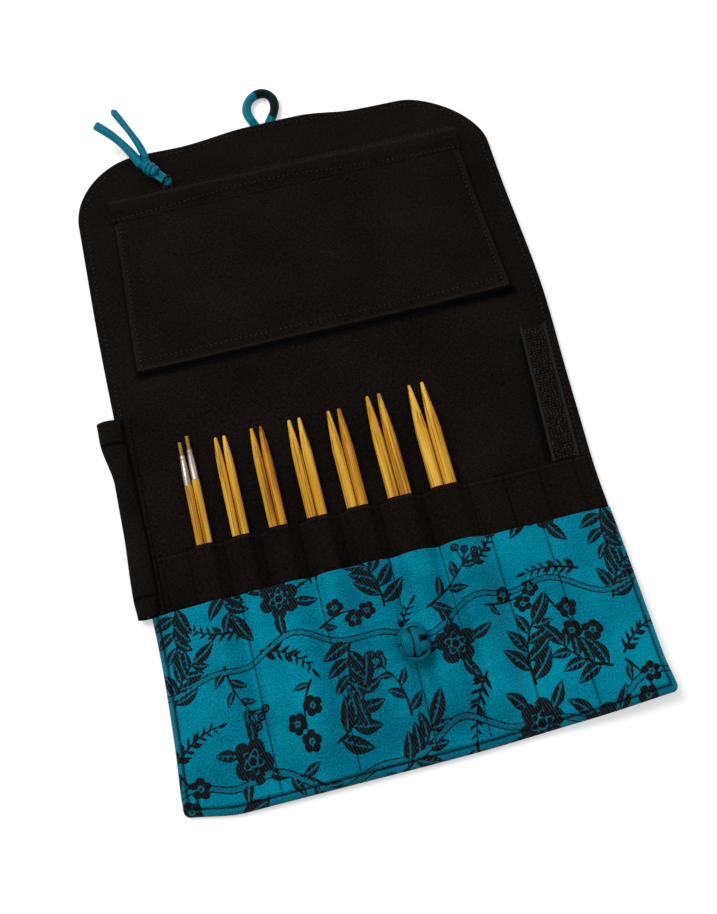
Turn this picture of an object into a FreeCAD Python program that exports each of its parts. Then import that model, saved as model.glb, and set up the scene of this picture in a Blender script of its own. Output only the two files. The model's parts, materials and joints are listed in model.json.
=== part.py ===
import FreeCAD, Part
import math
import os

# Fold-over fabric case for interchangeable knitting needles, lying open, in millimetres.
# +X runs across the case, +Y from the pockets towards the flap, +Z up from the table.
# The origin is on the table, under the middle of the tucked side flap.

# Case panels
case_width = 200.0
body_length = 174.0
spine_length = 16.0
flap_length = 117.0
flap_corner_radius = 36.0
bottom_corner_radius = 5.0
cover_thickness = 0.5
interlining_thickness = 1.0
lining_thickness = 0.5
interlining_inset = 3.0
fold_slit = 0.2

# Clearances
running_gap = 0.3
contact_gap = 0.1

# Needles
needle_diameters = (3.25, 3.5, 3.75, 4.25, 4.5, 5.0, 5.5)
needle_length = 130.0
needle_tilt_degrees = 0.5
needle_pair_gap = 0.3
needle_tip_radius = 0.75
needle_rest_gap = 0.2
point_length_share = 4.2
point_bulge = 0.15
first_pair_stagger = 2.2
pair_rises = (1.7, 0, 0.4, 0, 0, 2.4, 3.0)
ferrule_length = 14.2
ferrule_wall = 0.45
ferrule_floor = 4.0
ferrule_groove_depth = 0.25
ferrule_groove_width = 0.8
ferrule_groove_place = 1.6
tenon_clearance = 0.02
tenon_end_gap = 0.3
thread_length = 6.5
thread_diameter = 2.3
thread_chamfer = 0.4

# Needle pocket of black cotton
pocket_fabric = 0.5
pocket_floor_height = 20.0
pocket_top_height = 105.0
pocket_side_margin = 7.0
pocket_right_margin = 1.0
channel_ease = 9.0
channel_headroom = 1.9
channel_start = 20.25
stitch_land = 1.5

# Front pocket of brocade
brocade_fabric = 0.5
brocade_height = 80.0
brocade_line_from_right = 31.0
brocade_hem = 3.0
empty_pocket_puff = 2.4
brocade_cell_pair_counts = (1, 2, 2, 1, 1)
button_after_cell_count = 3

# Ball-knot button
button_height = 46.7
knot_strand_radius = 2.3
knot_ring_radius = 4.7
knot_ring_step = 0.15
knot_ring_tilt_degrees = 48.0
knot_ring_tilt_step_degrees = 5.0
knot_ring_count = 3
knot_core_radius = 4.4
shank_radius = 1.3

# Button loop
loop_tube_radius = 2.2
loop_bend_radius = 6.7
loop_reach = 17.5
loop_foot_spread = 6.4
loop_offset = -3.0

# Side flap
side_flap_height = 80.6
side_flap_width = 89.4
side_flap_layer = 0.5
side_flap_edge_margin = 2.0
gusset_seam_inset = 5.0
gusset_thickness = 1.0

# Fastening tape
tape_width = 12.0
tape_edge_margin = 4.0
tape_length = 62.5
loop_tape_thickness = 1.4

# Zip pouch
pouch_width = 170.0
pouch_height = 77.5
pouch_offset = 0.6
pouch_layer = 0.4
pouch_slack = 0.15

# Zip
zip_height = 8.4
zip_lap_width = 11.9
lap_foot_width = 2.8
lap_slope_run = 1.5
zip_lap_thickness = 0.5
zip_tape_thickness = 0.4
zip_tape_width = 6.0
zip_end_margin = 4.0
chain_width = 3.0
chain_thickness = 1.0
stop_length = 2.0
slider_from_left = 29.3
slider_length = 9.0
slider_width = 7.4
slider_thickness = 0.9
bail_wire_radius = 0.55
bail_reach = 6.8
lug_radius = 2.3

# Zip pull of fabric tube
bight_radius = 1.5
bight_end_overhang = 2.2
pull_knot_radius = 3.3
pull_knot_end_radius = 2.2
pull_knot_half_length = 3.0
pull_knot_belt_length = 2.0
pull_knot_across = -6.6
pull_knot_along = 8.4
wide_tail_radius = 1.9
slim_tail_radius = 1.5

# Routes of the two cord tails, measured from the middle of the pull's knot
wide_tail_route = (
    (-3.5, 2.1, 0.7), (-5.0, 5.9, 1.4), (-7.7, 11.0, 2.3),
    (-11.4, 16.9, 3.1), (-15.7, 22.3, 3.7), (-20.3, 26.9, 4.2),
)
slim_tail_route = (
    (-0.5, 4.8, 1.55), (-1.2, 8.2, 2.3), (-2.7, 13.3, 3.3),
    (-5.0, 19.1, 4.0), (-8.2, 26.4, 4.6), (-11.4, 33.4, 5.0),
)
bend_tangent_share = 0.45

# Places worked out from the sizes above
left_x = -case_width / 2
right_x = case_width / 2
bottom_y = -(side_flap_height + side_flap_width / 2)
body_fold_y = bottom_y + body_length
flap_fold_y = body_fold_y + spine_length
top_y = flap_fold_y + flap_length

side_flap_thickness = 2 * side_flap_layer
cover_z = side_flap_thickness + running_gap
interlining_z = cover_z + cover_thickness
lining_z = interlining_z + interlining_thickness
inner_z = lining_z + lining_thickness

pocket_floor_y = bottom_y + pocket_floor_height
pocket_top_y = bottom_y + pocket_top_height
brocade_top_y = bottom_y + brocade_height
needle_base_y = pocket_floor_y + pocket_fabric + running_gap

side_flap_low_y = bottom_y + side_flap_height
side_flap_high_y = side_flap_low_y + side_flap_width
gusset_seam_x = left_x + gusset_seam_inset
gusset_z = inner_z + running_gap
roll_radius = (gusset_z + gusset_thickness) / 2
roll_z = roll_radius

pouch_hinge_y = flap_fold_y + running_gap + pouch_height
zip_y = pouch_hinge_y + zip_height
zip_left_x = pouch_offset - pouch_width / 2 + zip_end_margin
zip_right_x = pouch_offset + pouch_width / 2 - zip_end_margin
slider_x = pouch_offset - pouch_width / 2 + slider_from_left
zip_tape_z = inner_z + contact_gap
chain_z = zip_tape_z + zip_tape_thickness
slider_z = chain_z + running_gap
slider_top_z = chain_z + chain_thickness + running_gap + slider_thickness
bail_y = zip_y + bail_reach

across = FreeCAD.Vector(1, 0, 0)
along = FreeCAD.Vector(0, 1, 0)
upward = FreeCAD.Vector(0, 0, 1)


class Channel:
    """One sewn channel of the needle pocket, arched over a pair of needles."""

    def __init__(self, left, diameter):
        self.diameter = diameter
        self.left = left
        self.right = left + 2 * diameter + channel_ease
        self.centre = (self.left + self.right) / 2
        half_chord = (self.right - self.left - stitch_land) / 2
        height = diameter + channel_headroom
        self.radius = arch_radius(half_chord, height)
        self.arch_z = inner_z + height - self.radius


def arch_radius(half_chord, height):
    """Radius of the circle over a chord, from half the chord and the arch's height."""
    return (half_chord ** 2 + height ** 2) / (2 * height)


def lay_out_channels():
    """Channels from left to right, each as wide as its pair of needles needs."""
    channels = []
    left = left_x + channel_start
    for diameter in needle_diameters:
        channel = Channel(left, diameter)
        channels.append(channel)
        left = channel.right
    return channels


channels = lay_out_channels()
tallest_arch_z = max(c.arch_z + c.radius for c in channels) + pocket_fabric
gusset_length = tallest_arch_z + running_gap + contact_gap - inner_z + roll_radius
roll_x = gusset_seam_x - gusset_length


def vector(x, y, z):
    return FreeCAD.Vector(x, y, z)


def block(x_low, x_high, y_low, y_high, z_low, z_high):
    """Box between two corners."""
    size = (x_high - x_low, y_high - y_low, z_high - z_low)
    return Part.makeBox(*size, vector(x_low, y_low, z_low))


def rod(radius, x, y_low, y_high, z):
    """Round bar along the case."""
    return Part.makeCylinder(radius, y_high - y_low, vector(x, y_low, z), along)


def one_solid(shape):
    """The single solid of a boolean's result, with its split faces joined."""
    clean = shape.removeSplitter()
    if len(clean.Solids) != 1:
        raise ValueError(f"expected one solid, found {len(clean.Solids)}")
    return clean.Solids[0]


def fuse_all(shapes):
    """Union of a list of shapes."""
    first, *others = shapes
    return first.multiFuse(others) if others else first


def round_end(panel, y, radius):
    """Rounds the two upright corners at one end of a panel."""
    def stands_at_end(edge):
        first, last = edge.Vertexes[0].Point, edge.Vertexes[-1].Point
        upright = (first - last).cross(upward).Length < contact_gap
        return upright and abs(first.y - y) < contact_gap
    return panel.makeFillet(radius, [e for e in panel.Edges if stands_at_end(e)])


def body_panel(inset, z_low, z_high):
    """Body's layer, rounded at the bottom corners."""
    high_y = body_fold_y - fold_slit / 2
    panel = block(left_x + inset, right_x - inset, bottom_y + inset, high_y, z_low, z_high)
    return round_end(panel, bottom_y + inset, bottom_corner_radius)


def spine_panel(z_low, z_high):
    """Spine's layer between the two fold lines."""
    low_y = body_fold_y + fold_slit / 2
    high_y = flap_fold_y - fold_slit / 2
    return block(left_x, right_x, low_y, high_y, z_low, z_high)


def flap_panel(inset, z_low, z_high):
    """Flap's layer, with its two large round corners."""
    low_y = flap_fold_y + fold_slit / 2
    panel = block(left_x + inset, right_x - inset, low_y, top_y - inset, z_low, z_high)
    return round_end(panel, top_y - inset, flap_corner_radius - inset)


def panels():
    """Cover, interlining and lining of the body, the spine and the flap."""
    return {
        "outer_cover_body": body_panel(0, cover_z, interlining_z),
        "outer_cover_spine": spine_panel(cover_z, interlining_z),
        "outer_cover_flap": flap_panel(0, cover_z, interlining_z),
        "interlining_body": body_panel(interlining_inset, interlining_z, lining_z),
        "interlining_flap": flap_panel(interlining_inset, interlining_z, lining_z),
        "lining_body": body_panel(0, lining_z, inner_z),
        "lining_spine": spine_panel(lining_z, inner_z),
        "lining_flap": flap_panel(0, lining_z, inner_z),
    }


def needle_pocket():
    """Black pocket: flat at its stitch lines, arched over each pair, closed at its floor."""
    x_low = left_x + pocket_side_margin
    x_high = right_x - pocket_right_margin
    above_lining = block(x_low, x_high, pocket_floor_y, pocket_top_y, inner_z, tallest_arch_z)
    sheet = block(x_low, x_high, pocket_floor_y, pocket_top_y, inner_z, inner_z + pocket_fabric)
    hollow_floor_y = pocket_floor_y + pocket_fabric
    outsides = []
    hollows = []
    for c in channels:
        outsides.append(rod(c.radius + pocket_fabric, c.centre, pocket_floor_y, pocket_top_y, c.arch_z))
        hollows.append(rod(c.radius, c.centre, hollow_floor_y, pocket_top_y, c.arch_z))
    full = fuse_all([sheet] + outsides).common(above_lining)
    return one_solid(full.cut(fuse_all(hollows)))


def bridge(first, last, lift, y_low, y_high):
    """Block that spans from the crown of one channel to the crown of another."""
    corners = [
        (first.centre, inner_z), (first.centre, first.arch_z + first.radius + lift),
        (last.centre, last.arch_z + last.radius + lift), (last.centre, inner_z),
    ]
    outline = Part.makePolygon([vector(x, y_low, z) for x, z in corners + corners[:1]])
    return Part.Face(outline).extrude(along * (y_high - y_low))


def brocade_cells():
    """Channels that lie under each wide cell of the front pocket, from left to right."""
    cells = []
    start = 0
    for count in brocade_cell_pair_counts:
        cells.append(channels[start:start + count])
        start += count
    return cells


def brocade_mass(lift, y_low, y_high):
    """Filled form under the brocade's face, raised above the black pocket by a lift."""
    shapes = []
    for cell in brocade_cells():
        for c in cell:
            shapes.append(rod(c.radius + lift, c.centre, y_low, y_high, c.arch_z))
        if len(cell) > 1:
            shapes.append(bridge(cell[0], cell[-1], lift, y_low, y_high))
    line_x = right_x - brocade_line_from_right
    for start, end in ((channels[-1].right, line_x), (line_x, right_x - brocade_hem)):
        half_chord = (end - start - stitch_land) / 2
        radius = arch_radius(half_chord, empty_pocket_puff)
        base_z = inner_z + pocket_fabric
        arch_z = base_z + empty_pocket_puff - radius
        shapes.append(rod(radius + lift - pocket_fabric, (start + end) / 2, y_low, y_high, arch_z))
    return fuse_all(shapes)


def brocade_pocket():
    """Front pocket: one sheet over the black pocket, with wider sewn cells."""
    inside = pocket_fabric + running_gap
    base_z = inner_z + pocket_fabric + contact_gap
    ceiling_z = tallest_arch_z + running_gap + brocade_fabric
    outline = block(left_x, right_x, bottom_y, brocade_top_y, base_z, ceiling_z)
    outline = round_end(outline, bottom_y, bottom_corner_radius)
    sheet = block(left_x, right_x, bottom_y, brocade_top_y, base_z, base_z + brocade_fabric)
    outside = sheet.fuse(brocade_mass(inside + brocade_fabric, bottom_y, brocade_top_y)).common(outline)
    hollow = brocade_mass(inside, bottom_y + brocade_fabric, brocade_top_y)
    return one_solid(outside.cut(hollow))


def button_place():
    """Middle of the ball knot, clear of the two bulges beside its stitch line."""
    x = brocade_cells()[button_after_cell_count - 1][-1].right
    ball = knot_ring_radius + knot_strand_radius + contact_gap
    lift = pocket_fabric + running_gap + brocade_fabric
    heights = []
    for c in channels:
        reach = c.radius + lift + ball
        offset = x - c.centre
        if abs(offset) < reach:
            heights.append(c.arch_z + math.sqrt(reach ** 2 - offset ** 2))
    return vector(x, bottom_y + button_height, max(heights))


def ball_knot():
    """Ball of three crossing strands round a core."""
    middle = button_place()
    strands = [Part.makeSphere(knot_core_radius, middle)]
    for index in range(knot_ring_count):
        ring = Part.makeTorus(knot_ring_radius - index * knot_ring_step, knot_strand_radius)
        ring.rotate(vector(0, 0, 0), across, knot_ring_tilt_degrees + index * knot_ring_tilt_step_degrees)
        ring.rotate(vector(0, 0, 0), upward, index * 360 / knot_ring_count)
        ring.translate(middle)
        strands.append(ring)
    return one_solid(fuse_all(strands))


def button_shank(brocade, knot):
    """Short post that ties the ball knot down into the stitch line's valley."""
    middle = button_place()
    base_z = inner_z + pocket_fabric + contact_gap
    post = Part.makeCylinder(shank_radius, middle.z - base_z, vector(middle.x, middle.y, base_z))
    pieces = post.cut(fuse_all([brocade, knot])).Solids
    return max(pieces, key=lambda piece: piece.Volume)


def button_loop():
    """Fabric-tube loop at the flap's edge: two feet that lean in, and a round top."""
    mid_z = (cover_z + inner_z) / 2
    foot = loop_foot_spread / 2
    centre_y = top_y + loop_reach - loop_tube_radius - loop_bend_radius
    drop = centre_y - top_y
    reach = math.hypot(foot, drop)
    lean = math.atan2(foot, drop) + math.acos(loop_bend_radius / reach)
    touch_x = loop_bend_radius * math.sin(lean)
    touch_y = centre_y - loop_bend_radius * math.cos(lean)

    def place(x, y):
        return vector(loop_offset + x, y, mid_z)

    left_touch, right_touch = place(-touch_x, touch_y), place(touch_x, touch_y)
    crown = place(0, centre_y + loop_bend_radius)
    path = Part.Wire([
        Part.LineSegment(place(-foot, top_y), left_touch).toShape(),
        Part.Arc(left_touch, crown, right_touch).toShape(),
        Part.LineSegment(right_touch, place(foot, top_y)).toShape(),
    ])
    section = Part.Wire(Part.makeCircle(loop_tube_radius, place(-foot, top_y), path.Edges[0].tangentAt(0)))
    tube = path.makePipeShell([section], True, False)
    slack = 2 * loop_tube_radius
    beyond = block(left_x, right_x, top_y, top_y + loop_reach, mid_z - slack, mid_z + slack)
    return one_solid(tube.common(beyond))


def side_flap():
    """Gusset, rolled fold, two layers and hook tape of the flap tucked under the case."""
    y_low, y_high = side_flap_low_y, side_flap_high_y
    closed_shift = gusset_length + roll_z - inner_z
    start_x = roll_x + roll_radius + running_gap + contact_gap
    end_x = right_x - side_flap_edge_margin - closed_shift
    hook_high_x = right_x - tape_edge_margin - closed_shift
    hook_low_x = hook_high_x - tape_width
    tape_low_y = pocket_top_y + running_gap
    tape_high_y = tape_low_y + tape_length
    gusset_high_x = gusset_seam_x - contact_gap
    gusset = block(roll_x, gusset_high_x, y_low, y_high, gusset_z, gusset_z + gusset_thickness)
    ring = rod(roll_radius, roll_x, y_low, y_high, roll_z)
    ring = ring.cut(rod(roll_radius - gusset_thickness, roll_x, y_low, y_high, roll_z))
    left_half = block(roll_x - roll_radius, roll_x, y_low, y_high, 0, 2 * roll_radius)
    lip = block(roll_x, start_x - contact_gap, y_low, y_high, 0, side_flap_thickness)
    face = block(start_x, end_x, y_low, y_high, 0, side_flap_layer)
    hook = block(hook_low_x, hook_high_x, tape_low_y, tape_high_y, 0, side_flap_layer)
    return {
        "gusset": gusset,
        "side_flap_roll": one_solid(ring.common(left_half).fuse(lip)),
        "side_flap_face": one_solid(face.cut(hook)),
        "side_flap_back": block(start_x, end_x, y_low, y_high, side_flap_layer, side_flap_thickness),
        "hook_tape": hook,
    }


def loop_tape():
    """Loop side of the fastening tape, sewn on the lining at the right."""
    high_x = right_x - tape_edge_margin
    low_y = pocket_top_y + running_gap
    top_z = inner_z + loop_tape_thickness
    return block(high_x - tape_width, high_x, low_y, low_y + tape_length, inner_z, top_z)


def pouch():
    """Front and back of the flat pouch, below its hinge line."""
    x_low = pouch_offset - pouch_width / 2
    x_high = pouch_offset + pouch_width / 2
    y_high = pouch_hinge_y - contact_gap
    y_low = pouch_hinge_y - pouch_height
    back_z = inner_z + contact_gap
    front_z = back_z + pouch_layer + pouch_slack
    return {
        "pouch_back": block(x_low, x_high, y_low, y_high, back_z, back_z + pouch_layer),
        "pouch_front": block(x_low, x_high, y_low, y_high, front_z, front_z + pouch_layer),
    }


def zip_strip():
    """Lap, two tapes, chain and end stops of the zip, all sewn to the flap."""
    x_low = pouch_offset - pouch_width / 2
    x_high = pouch_offset + pouch_width / 2
    tape_top_z = chain_z
    low_tape_y = pouch_hinge_y + contact_gap
    high_tape_y = zip_y + zip_tape_width
    middle_slit = contact_gap / 2
    stops = []
    for start in (zip_left_x, zip_right_x - stop_length):
        stops.append(block(start, start + stop_length, zip_y - chain_width / 2, zip_y + chain_width / 2,
                           chain_z, chain_z + chain_thickness))
    chain_low_x = zip_left_x + stop_length + contact_gap
    chain_high_x = zip_right_x - stop_length - contact_gap
    return {
        "zip_lap": zip_lap(x_low, x_high, low_tape_y),
        "zip_tape_lower": block(x_low, x_high, low_tape_y, zip_y - middle_slit, zip_tape_z, tape_top_z),
        "zip_tape_upper": block(x_low, x_high, zip_y + middle_slit, high_tape_y, zip_tape_z, tape_top_z),
        "zip_teeth": block(chain_low_x, chain_high_x, zip_y - chain_width / 2, zip_y + chain_width / 2,
                           chain_z, chain_z + chain_thickness),
        "zip_stops": Part.makeCompound(stops),
    }


def zip_lap(x_low, x_high, low_y):
    """Strip of cloth, sewn below the zip and folded up over the slider, open at its upper edge."""
    foot_z = chain_z + contact_gap
    roof_z = slider_top_z + running_gap
    foot_y = low_y + lap_foot_width
    roof_y = foot_y + lap_slope_run
    high_y = low_y + zip_lap_width
    skew = zip_lap_thickness * lap_slope_run / (roof_z - foot_z)
    outline = [
        (low_y, foot_z), (foot_y, foot_z), (roof_y, roof_z), (high_y, roof_z),
        (high_y, roof_z + zip_lap_thickness), (roof_y - skew, roof_z + zip_lap_thickness),
        (foot_y - skew, foot_z + zip_lap_thickness), (low_y, foot_z + zip_lap_thickness), (low_y, foot_z),
    ]
    face = Part.Face(Part.makePolygon([vector(x_low, y, z) for y, z in outline]))
    return face.extrude(vector(x_high - x_low, 0, 0))


def pull_frame():
    """Places of the pull: the bight's round end, the knot's middle and the way between them."""
    bight_z = slider_top_z + running_gap + bight_radius
    knot = vector(slider_x + pull_knot_across, bail_y + pull_knot_along, bight_z)
    seat = vector(slider_x, bail_y, bight_z)
    way = (knot - seat).normalize()
    start = seat - way * bight_end_overhang
    return start, seat, knot, way


def zip_slider():
    """Slider that straddles the chain, with a lug that carries the bail beyond the lap."""
    half_length, half_width = slider_length / 2, slider_width / 2
    groove_half = chain_width / 2 + running_gap
    groove_top_z = chain_z + chain_thickness + running_gap
    outside = block(slider_x - half_length, slider_x + half_length, zip_y - half_width, zip_y + half_width,
                    slider_z, slider_top_z)
    corners = [e for e in outside.Edges if abs(e.tangentAt(e.FirstParameter).z) > 0.5]
    outside = outside.makeFillet(half_width / 2, corners)
    groove = block(slider_x - slider_length, slider_x + slider_length,
                   zip_y - groove_half, zip_y + groove_half, slider_z, groove_top_z)
    lug = block(slider_x - lug_radius, slider_x + lug_radius, zip_y, bail_y, groove_top_z, slider_top_z)
    lug_end = Part.makeCylinder(lug_radius, slider_thickness, vector(slider_x, bail_y, groove_top_z))
    return one_solid(outside.cut(groove).fuse(lug).fuse(lug_end))


def pull_bail():
    """Half-ring of wire on the slider that the pull's cord goes through."""
    start, seat, knot, way = pull_frame()
    bail_radius = bight_radius + running_gap + bail_wire_radius
    ring = Part.makeTorus(bail_radius, bail_wire_radius, seat, way)
    size = 2 * (bail_radius + bail_wire_radius)
    above = block(slider_x - size, slider_x + size, bail_y - size, bail_y + size,
                  slider_top_z, slider_top_z + size)
    return one_solid(ring.common(above))


def pull_bight():
    """Doubled cord from its round end, through the bail, to the knot."""
    start, seat, knot, way = pull_frame()
    length = (knot - start).Length - pull_knot_half_length
    tube = Part.makeCylinder(bight_radius, length, start, way)
    return one_solid(tube.fuse(Part.makeSphere(bight_radius, start)))


def pull_knot():
    """Barrel-shaped knot, along the cord: a belt between two cones."""
    start, seat, knot, way = pull_frame()
    half, belt = pull_knot_half_length, pull_knot_belt_length / 2
    barrel = turned(polyline([
        (0, -half), (pull_knot_end_radius, -half), (pull_knot_radius, -belt),
        (pull_knot_radius, belt), (pull_knot_end_radius, half), (0, half), (0, -half),
    ]))
    barrel.Placement = FreeCAD.Placement(knot, FreeCAD.Rotation(along, way))
    return barrel


def cord_tube(name, route, radius):
    """Tube along a route of straight runs joined by tangent arcs, each as large as its runs allow."""
    start, seat, knot, way = pull_frame()
    points = [knot + vector(*step) for step in route]
    edges = []
    bends = []
    last = points[0]
    for before, corner, after in zip(points, points[1:], points[2:]):
        back, ahead = before - corner, after - corner
        tangent = bend_tangent_share * min(back.Length, ahead.Length)
        back.normalize()
        ahead.normalize()
        half_turn = (math.pi - back.getAngle(ahead)) / 2
        bend = tangent / math.tan(half_turn)
        inward = (back + ahead).normalize()
        arc_middle = corner + inward * (bend / math.cos(half_turn) - bend)
        enter, leave = corner + back * tangent, corner + ahead * tangent
        edges.append(Part.LineSegment(last, enter).toShape())
        edges.append(Part.Arc(enter, arc_middle, leave).toShape())
        bends.append(bend)
        last = leave
    edges.append(Part.LineSegment(last, points[-1]).toShape())
    path = Part.Wire(edges)
    section = Part.Wire(Part.makeCircle(radius, points[0], (points[1] - points[0]).normalize()))
    tube = path.makePipeShell([section], True, False)
    share = tube.Volume / (math.pi * radius ** 2 * path.Length)
    print(f"{name}: length {path.Length:.2f}, least bend {min(bends):.1f}, volume share {share:.4f}")
    return tube


def turned(outline):
    """Solid of revolution about the needle's axis, from an outline of edges."""
    return Part.Face(Part.Wire(outline)).revolve(vector(0, 0, 0), along, 360)


def polyline(points):
    """Straight edges through a list of radius and length pairs."""
    places = [vector(radius, length, 0) for radius, length in points]
    return [Part.LineSegment(a, b).toShape() for a, b in zip(places, places[1:])]


def needle_shaft(diameter):
    """Bamboo shaft with a tenon at its foot and a long point at its tip."""
    radius = diameter / 2
    foot = thread_length + ferrule_length
    tenon_radius = radius - ferrule_wall - tenon_clearance
    tenon_start = thread_length + ferrule_floor + tenon_end_gap
    point_start = needle_length - point_length_share * diameter
    shoulder_tip = needle_length - needle_tip_radius
    waist = vector((radius + needle_tip_radius) / 2 + point_bulge, (point_start + shoulder_tip) / 2, 0)
    tip_arc_middle = vector(needle_tip_radius * math.sin(math.pi / 4),
                            shoulder_tip + needle_tip_radius * math.sin(math.pi / 4), 0)
    outline = polyline([(0, needle_length), (0, tenon_start), (tenon_radius, tenon_start),
                        (tenon_radius, foot), (radius, foot), (radius, point_start)])
    outline.append(Part.Arc(vector(radius, point_start, 0), waist,
                            vector(needle_tip_radius, shoulder_tip, 0)).toShape())
    outline.append(Part.Arc(vector(needle_tip_radius, shoulder_tip, 0), tip_arc_middle,
                            vector(0, needle_length, 0)).toShape())
    return turned(outline)


def needle_connector(diameter):
    """Metal ferrule with a blind socket for the shaft, a groove and a threaded stud."""
    radius = diameter / 2
    socket_radius = radius - ferrule_wall
    foot = thread_length + ferrule_length
    stud = thread_diameter / 2
    groove_start = thread_length + ferrule_groove_place
    groove_end = groove_start + ferrule_groove_width
    groove_radius = radius - ferrule_groove_depth
    socket_floor = thread_length + ferrule_floor
    outline = polyline([
        (0, 0), (stud - thread_chamfer, 0), (stud, thread_chamfer), (stud, thread_length),
        (radius, thread_length), (radius, groove_start), (groove_radius, groove_start),
        (groove_radius, groove_end), (radius, groove_end), (radius, foot),
        (socket_radius, foot), (socket_radius, socket_floor), (0, socket_floor), (0, 0),
    ])
    return turned(outline)


def seat_needle(shape, channel, side, upside_down, rise):
    """Lays a needle in its channel, tilted up a little towards the flap."""
    radius = channel.diameter / 2
    if upside_down:
        shape.rotate(vector(0, needle_length / 2, 0), upward, 180)
    shape.rotate(vector(0, 0, 0), across, needle_tilt_degrees)
    x = channel.centre + side * (radius + needle_pair_gap / 2)
    if upside_down and side > 0:
        rise += first_pair_stagger
    shape.translate(vector(x, needle_base_y + rise, inner_z + needle_rest_gap + radius))
    return shape


def needles():
    """Seven pairs of needles; the first pair stands upside down."""
    pieces = {}
    for number, (channel, rise) in enumerate(zip(channels, pair_rises), start=1):
        for letter, side in (("a", -1), ("b", 1)):
            name = f"{number}{letter}"
            upside_down = channel is channels[0]
            shaft = needle_shaft(channel.diameter)
            connector = needle_connector(channel.diameter)
            pieces["needle_shaft_" + name] = seat_needle(shaft, channel, side, upside_down, rise)
            pieces["needle_connector_" + name] = seat_needle(connector, channel, side, upside_down, rise)
    return pieces


def build():
    """Every piece of the case, by its name."""
    pieces = panels()
    pieces["needle_pocket"] = needle_pocket()
    pieces["brocade_pocket"] = brocade_pocket()
    pieces["ball_knot_button"] = ball_knot()
    pieces["button_shank"] = button_shank(pieces["brocade_pocket"], pieces["ball_knot_button"])
    pieces["button_loop"] = button_loop()
    pieces.update(side_flap())
    pieces["loop_tape"] = loop_tape()
    pieces.update(pouch())
    pieces.update(zip_strip())
    pieces["zip_slider"] = zip_slider()
    pieces["pull_bail"] = pull_bail()
    pieces["pull_bight"] = pull_bight()
    pieces["pull_knot"] = pull_knot()
    pieces["pull_tail_wide"] = cord_tube("pull_tail_wide", wide_tail_route, wide_tail_radius)
    pieces["pull_tail_slim"] = cord_tube("pull_tail_slim", slim_tail_route, slim_tail_radius)
    pieces.update(needles())
    return pieces


os.makedirs("parts", exist_ok=True)
for node, shape in build().items():
    if not shape.isValid():
        raise ValueError(f"{node} isn't a valid solid")
    shape.exportStep(f"parts/{node}.step")
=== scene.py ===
"""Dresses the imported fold-over needle case: cloth, fabric tubes, stitches, zip, tapes and needles."""
import json
import logging
import math
from dataclasses import dataclass, field
from enum import Enum

import bpy
import numpy as np
from mathutils import Matrix, Vector


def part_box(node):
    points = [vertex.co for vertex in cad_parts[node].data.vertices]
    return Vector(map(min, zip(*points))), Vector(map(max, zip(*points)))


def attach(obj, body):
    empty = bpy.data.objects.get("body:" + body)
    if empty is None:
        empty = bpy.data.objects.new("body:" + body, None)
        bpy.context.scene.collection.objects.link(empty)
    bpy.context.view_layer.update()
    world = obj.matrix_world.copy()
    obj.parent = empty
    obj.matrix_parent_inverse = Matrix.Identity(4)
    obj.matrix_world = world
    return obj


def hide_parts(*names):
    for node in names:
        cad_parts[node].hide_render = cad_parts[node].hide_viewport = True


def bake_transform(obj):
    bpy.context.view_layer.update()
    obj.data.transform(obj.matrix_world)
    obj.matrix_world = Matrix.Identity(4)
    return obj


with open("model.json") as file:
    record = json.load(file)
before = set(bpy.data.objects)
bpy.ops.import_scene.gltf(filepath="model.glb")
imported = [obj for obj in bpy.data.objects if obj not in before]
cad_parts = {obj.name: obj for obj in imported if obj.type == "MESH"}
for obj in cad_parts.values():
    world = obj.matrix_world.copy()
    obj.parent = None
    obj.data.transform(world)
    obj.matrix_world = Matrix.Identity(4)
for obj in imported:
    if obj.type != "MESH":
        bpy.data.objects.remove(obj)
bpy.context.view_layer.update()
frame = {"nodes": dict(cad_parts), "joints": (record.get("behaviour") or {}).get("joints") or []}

MM = 0.001
LOG = logging.getLogger("needle_case")
IMAGE_HEIGHT_PX = 914
SENSOR_MM = 36.0
Grid = np.ndarray
Socket = bpy.types.NodeSocket
Feed = Socket | float | tuple
Colour = tuple[float, float, float, float]
Object = bpy.types.Object
Material = bpy.types.Material


def box_mm(node: str) -> tuple[Vector, Vector]:
    """Lowest and highest corner of a CAD node in millimetres.

    Args:
        node: the node's name.
    Returns:
        The two corners.
    """
    low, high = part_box(node)
    return low / MM, high / MM


def smooth_step(low: float, high: float, value: Grid) -> Grid:
    """Share from 0 at low to 1 at high, eased at both ends.

    Args:
        low: value where the share is 0.
        high: value where the share is 1.
        value: numbers to map.
    Returns:
        The shares.
    """
    share = np.clip((value - low) / (high - low), 0.0, 1.0)
    return share * share * (3.0 - 2.0 * share)


def bell(gap: Grid, width: float) -> Grid:
    """Share that is 1 where the gap is 0 and falls off on both sides."""
    return np.exp(-(gap / width) ** 2)


def round_over(edge: Grid, reach: float) -> Grid:
    """Share of its full height that cloth keeps as it turns down at an edge.

    Args:
        edge: distance from the edge.
        reach: distance from which the cloth lies flat.
    Returns:
        The shares, 0 at the edge.
    """
    share = 1.0 - np.clip(edge, 0.0, reach) / reach
    return np.sqrt(np.maximum(1.0 - share ** 2, 0.0))


def stacked(*parts: Grid | float) -> Grid:
    """Points from their separate coordinates, where a plain number is the same for all."""
    return np.stack(np.broadcast_arrays(*parts), -1)


def flat_grid(low: Vector, high: Vector, columns: int, rows: int) -> list[Grid]:
    """The x and the y of an even grid over a box."""
    return np.meshgrid(np.linspace(low.x, high.x, columns), np.linspace(low.y, high.y, rows))


def lengths_along(path: Grid) -> Grid:
    """Length of a path up to each of its points."""
    return np.concatenate([[0.0], np.cumsum(np.linalg.norm(np.diff(path, axis=0), axis=1))])


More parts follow.
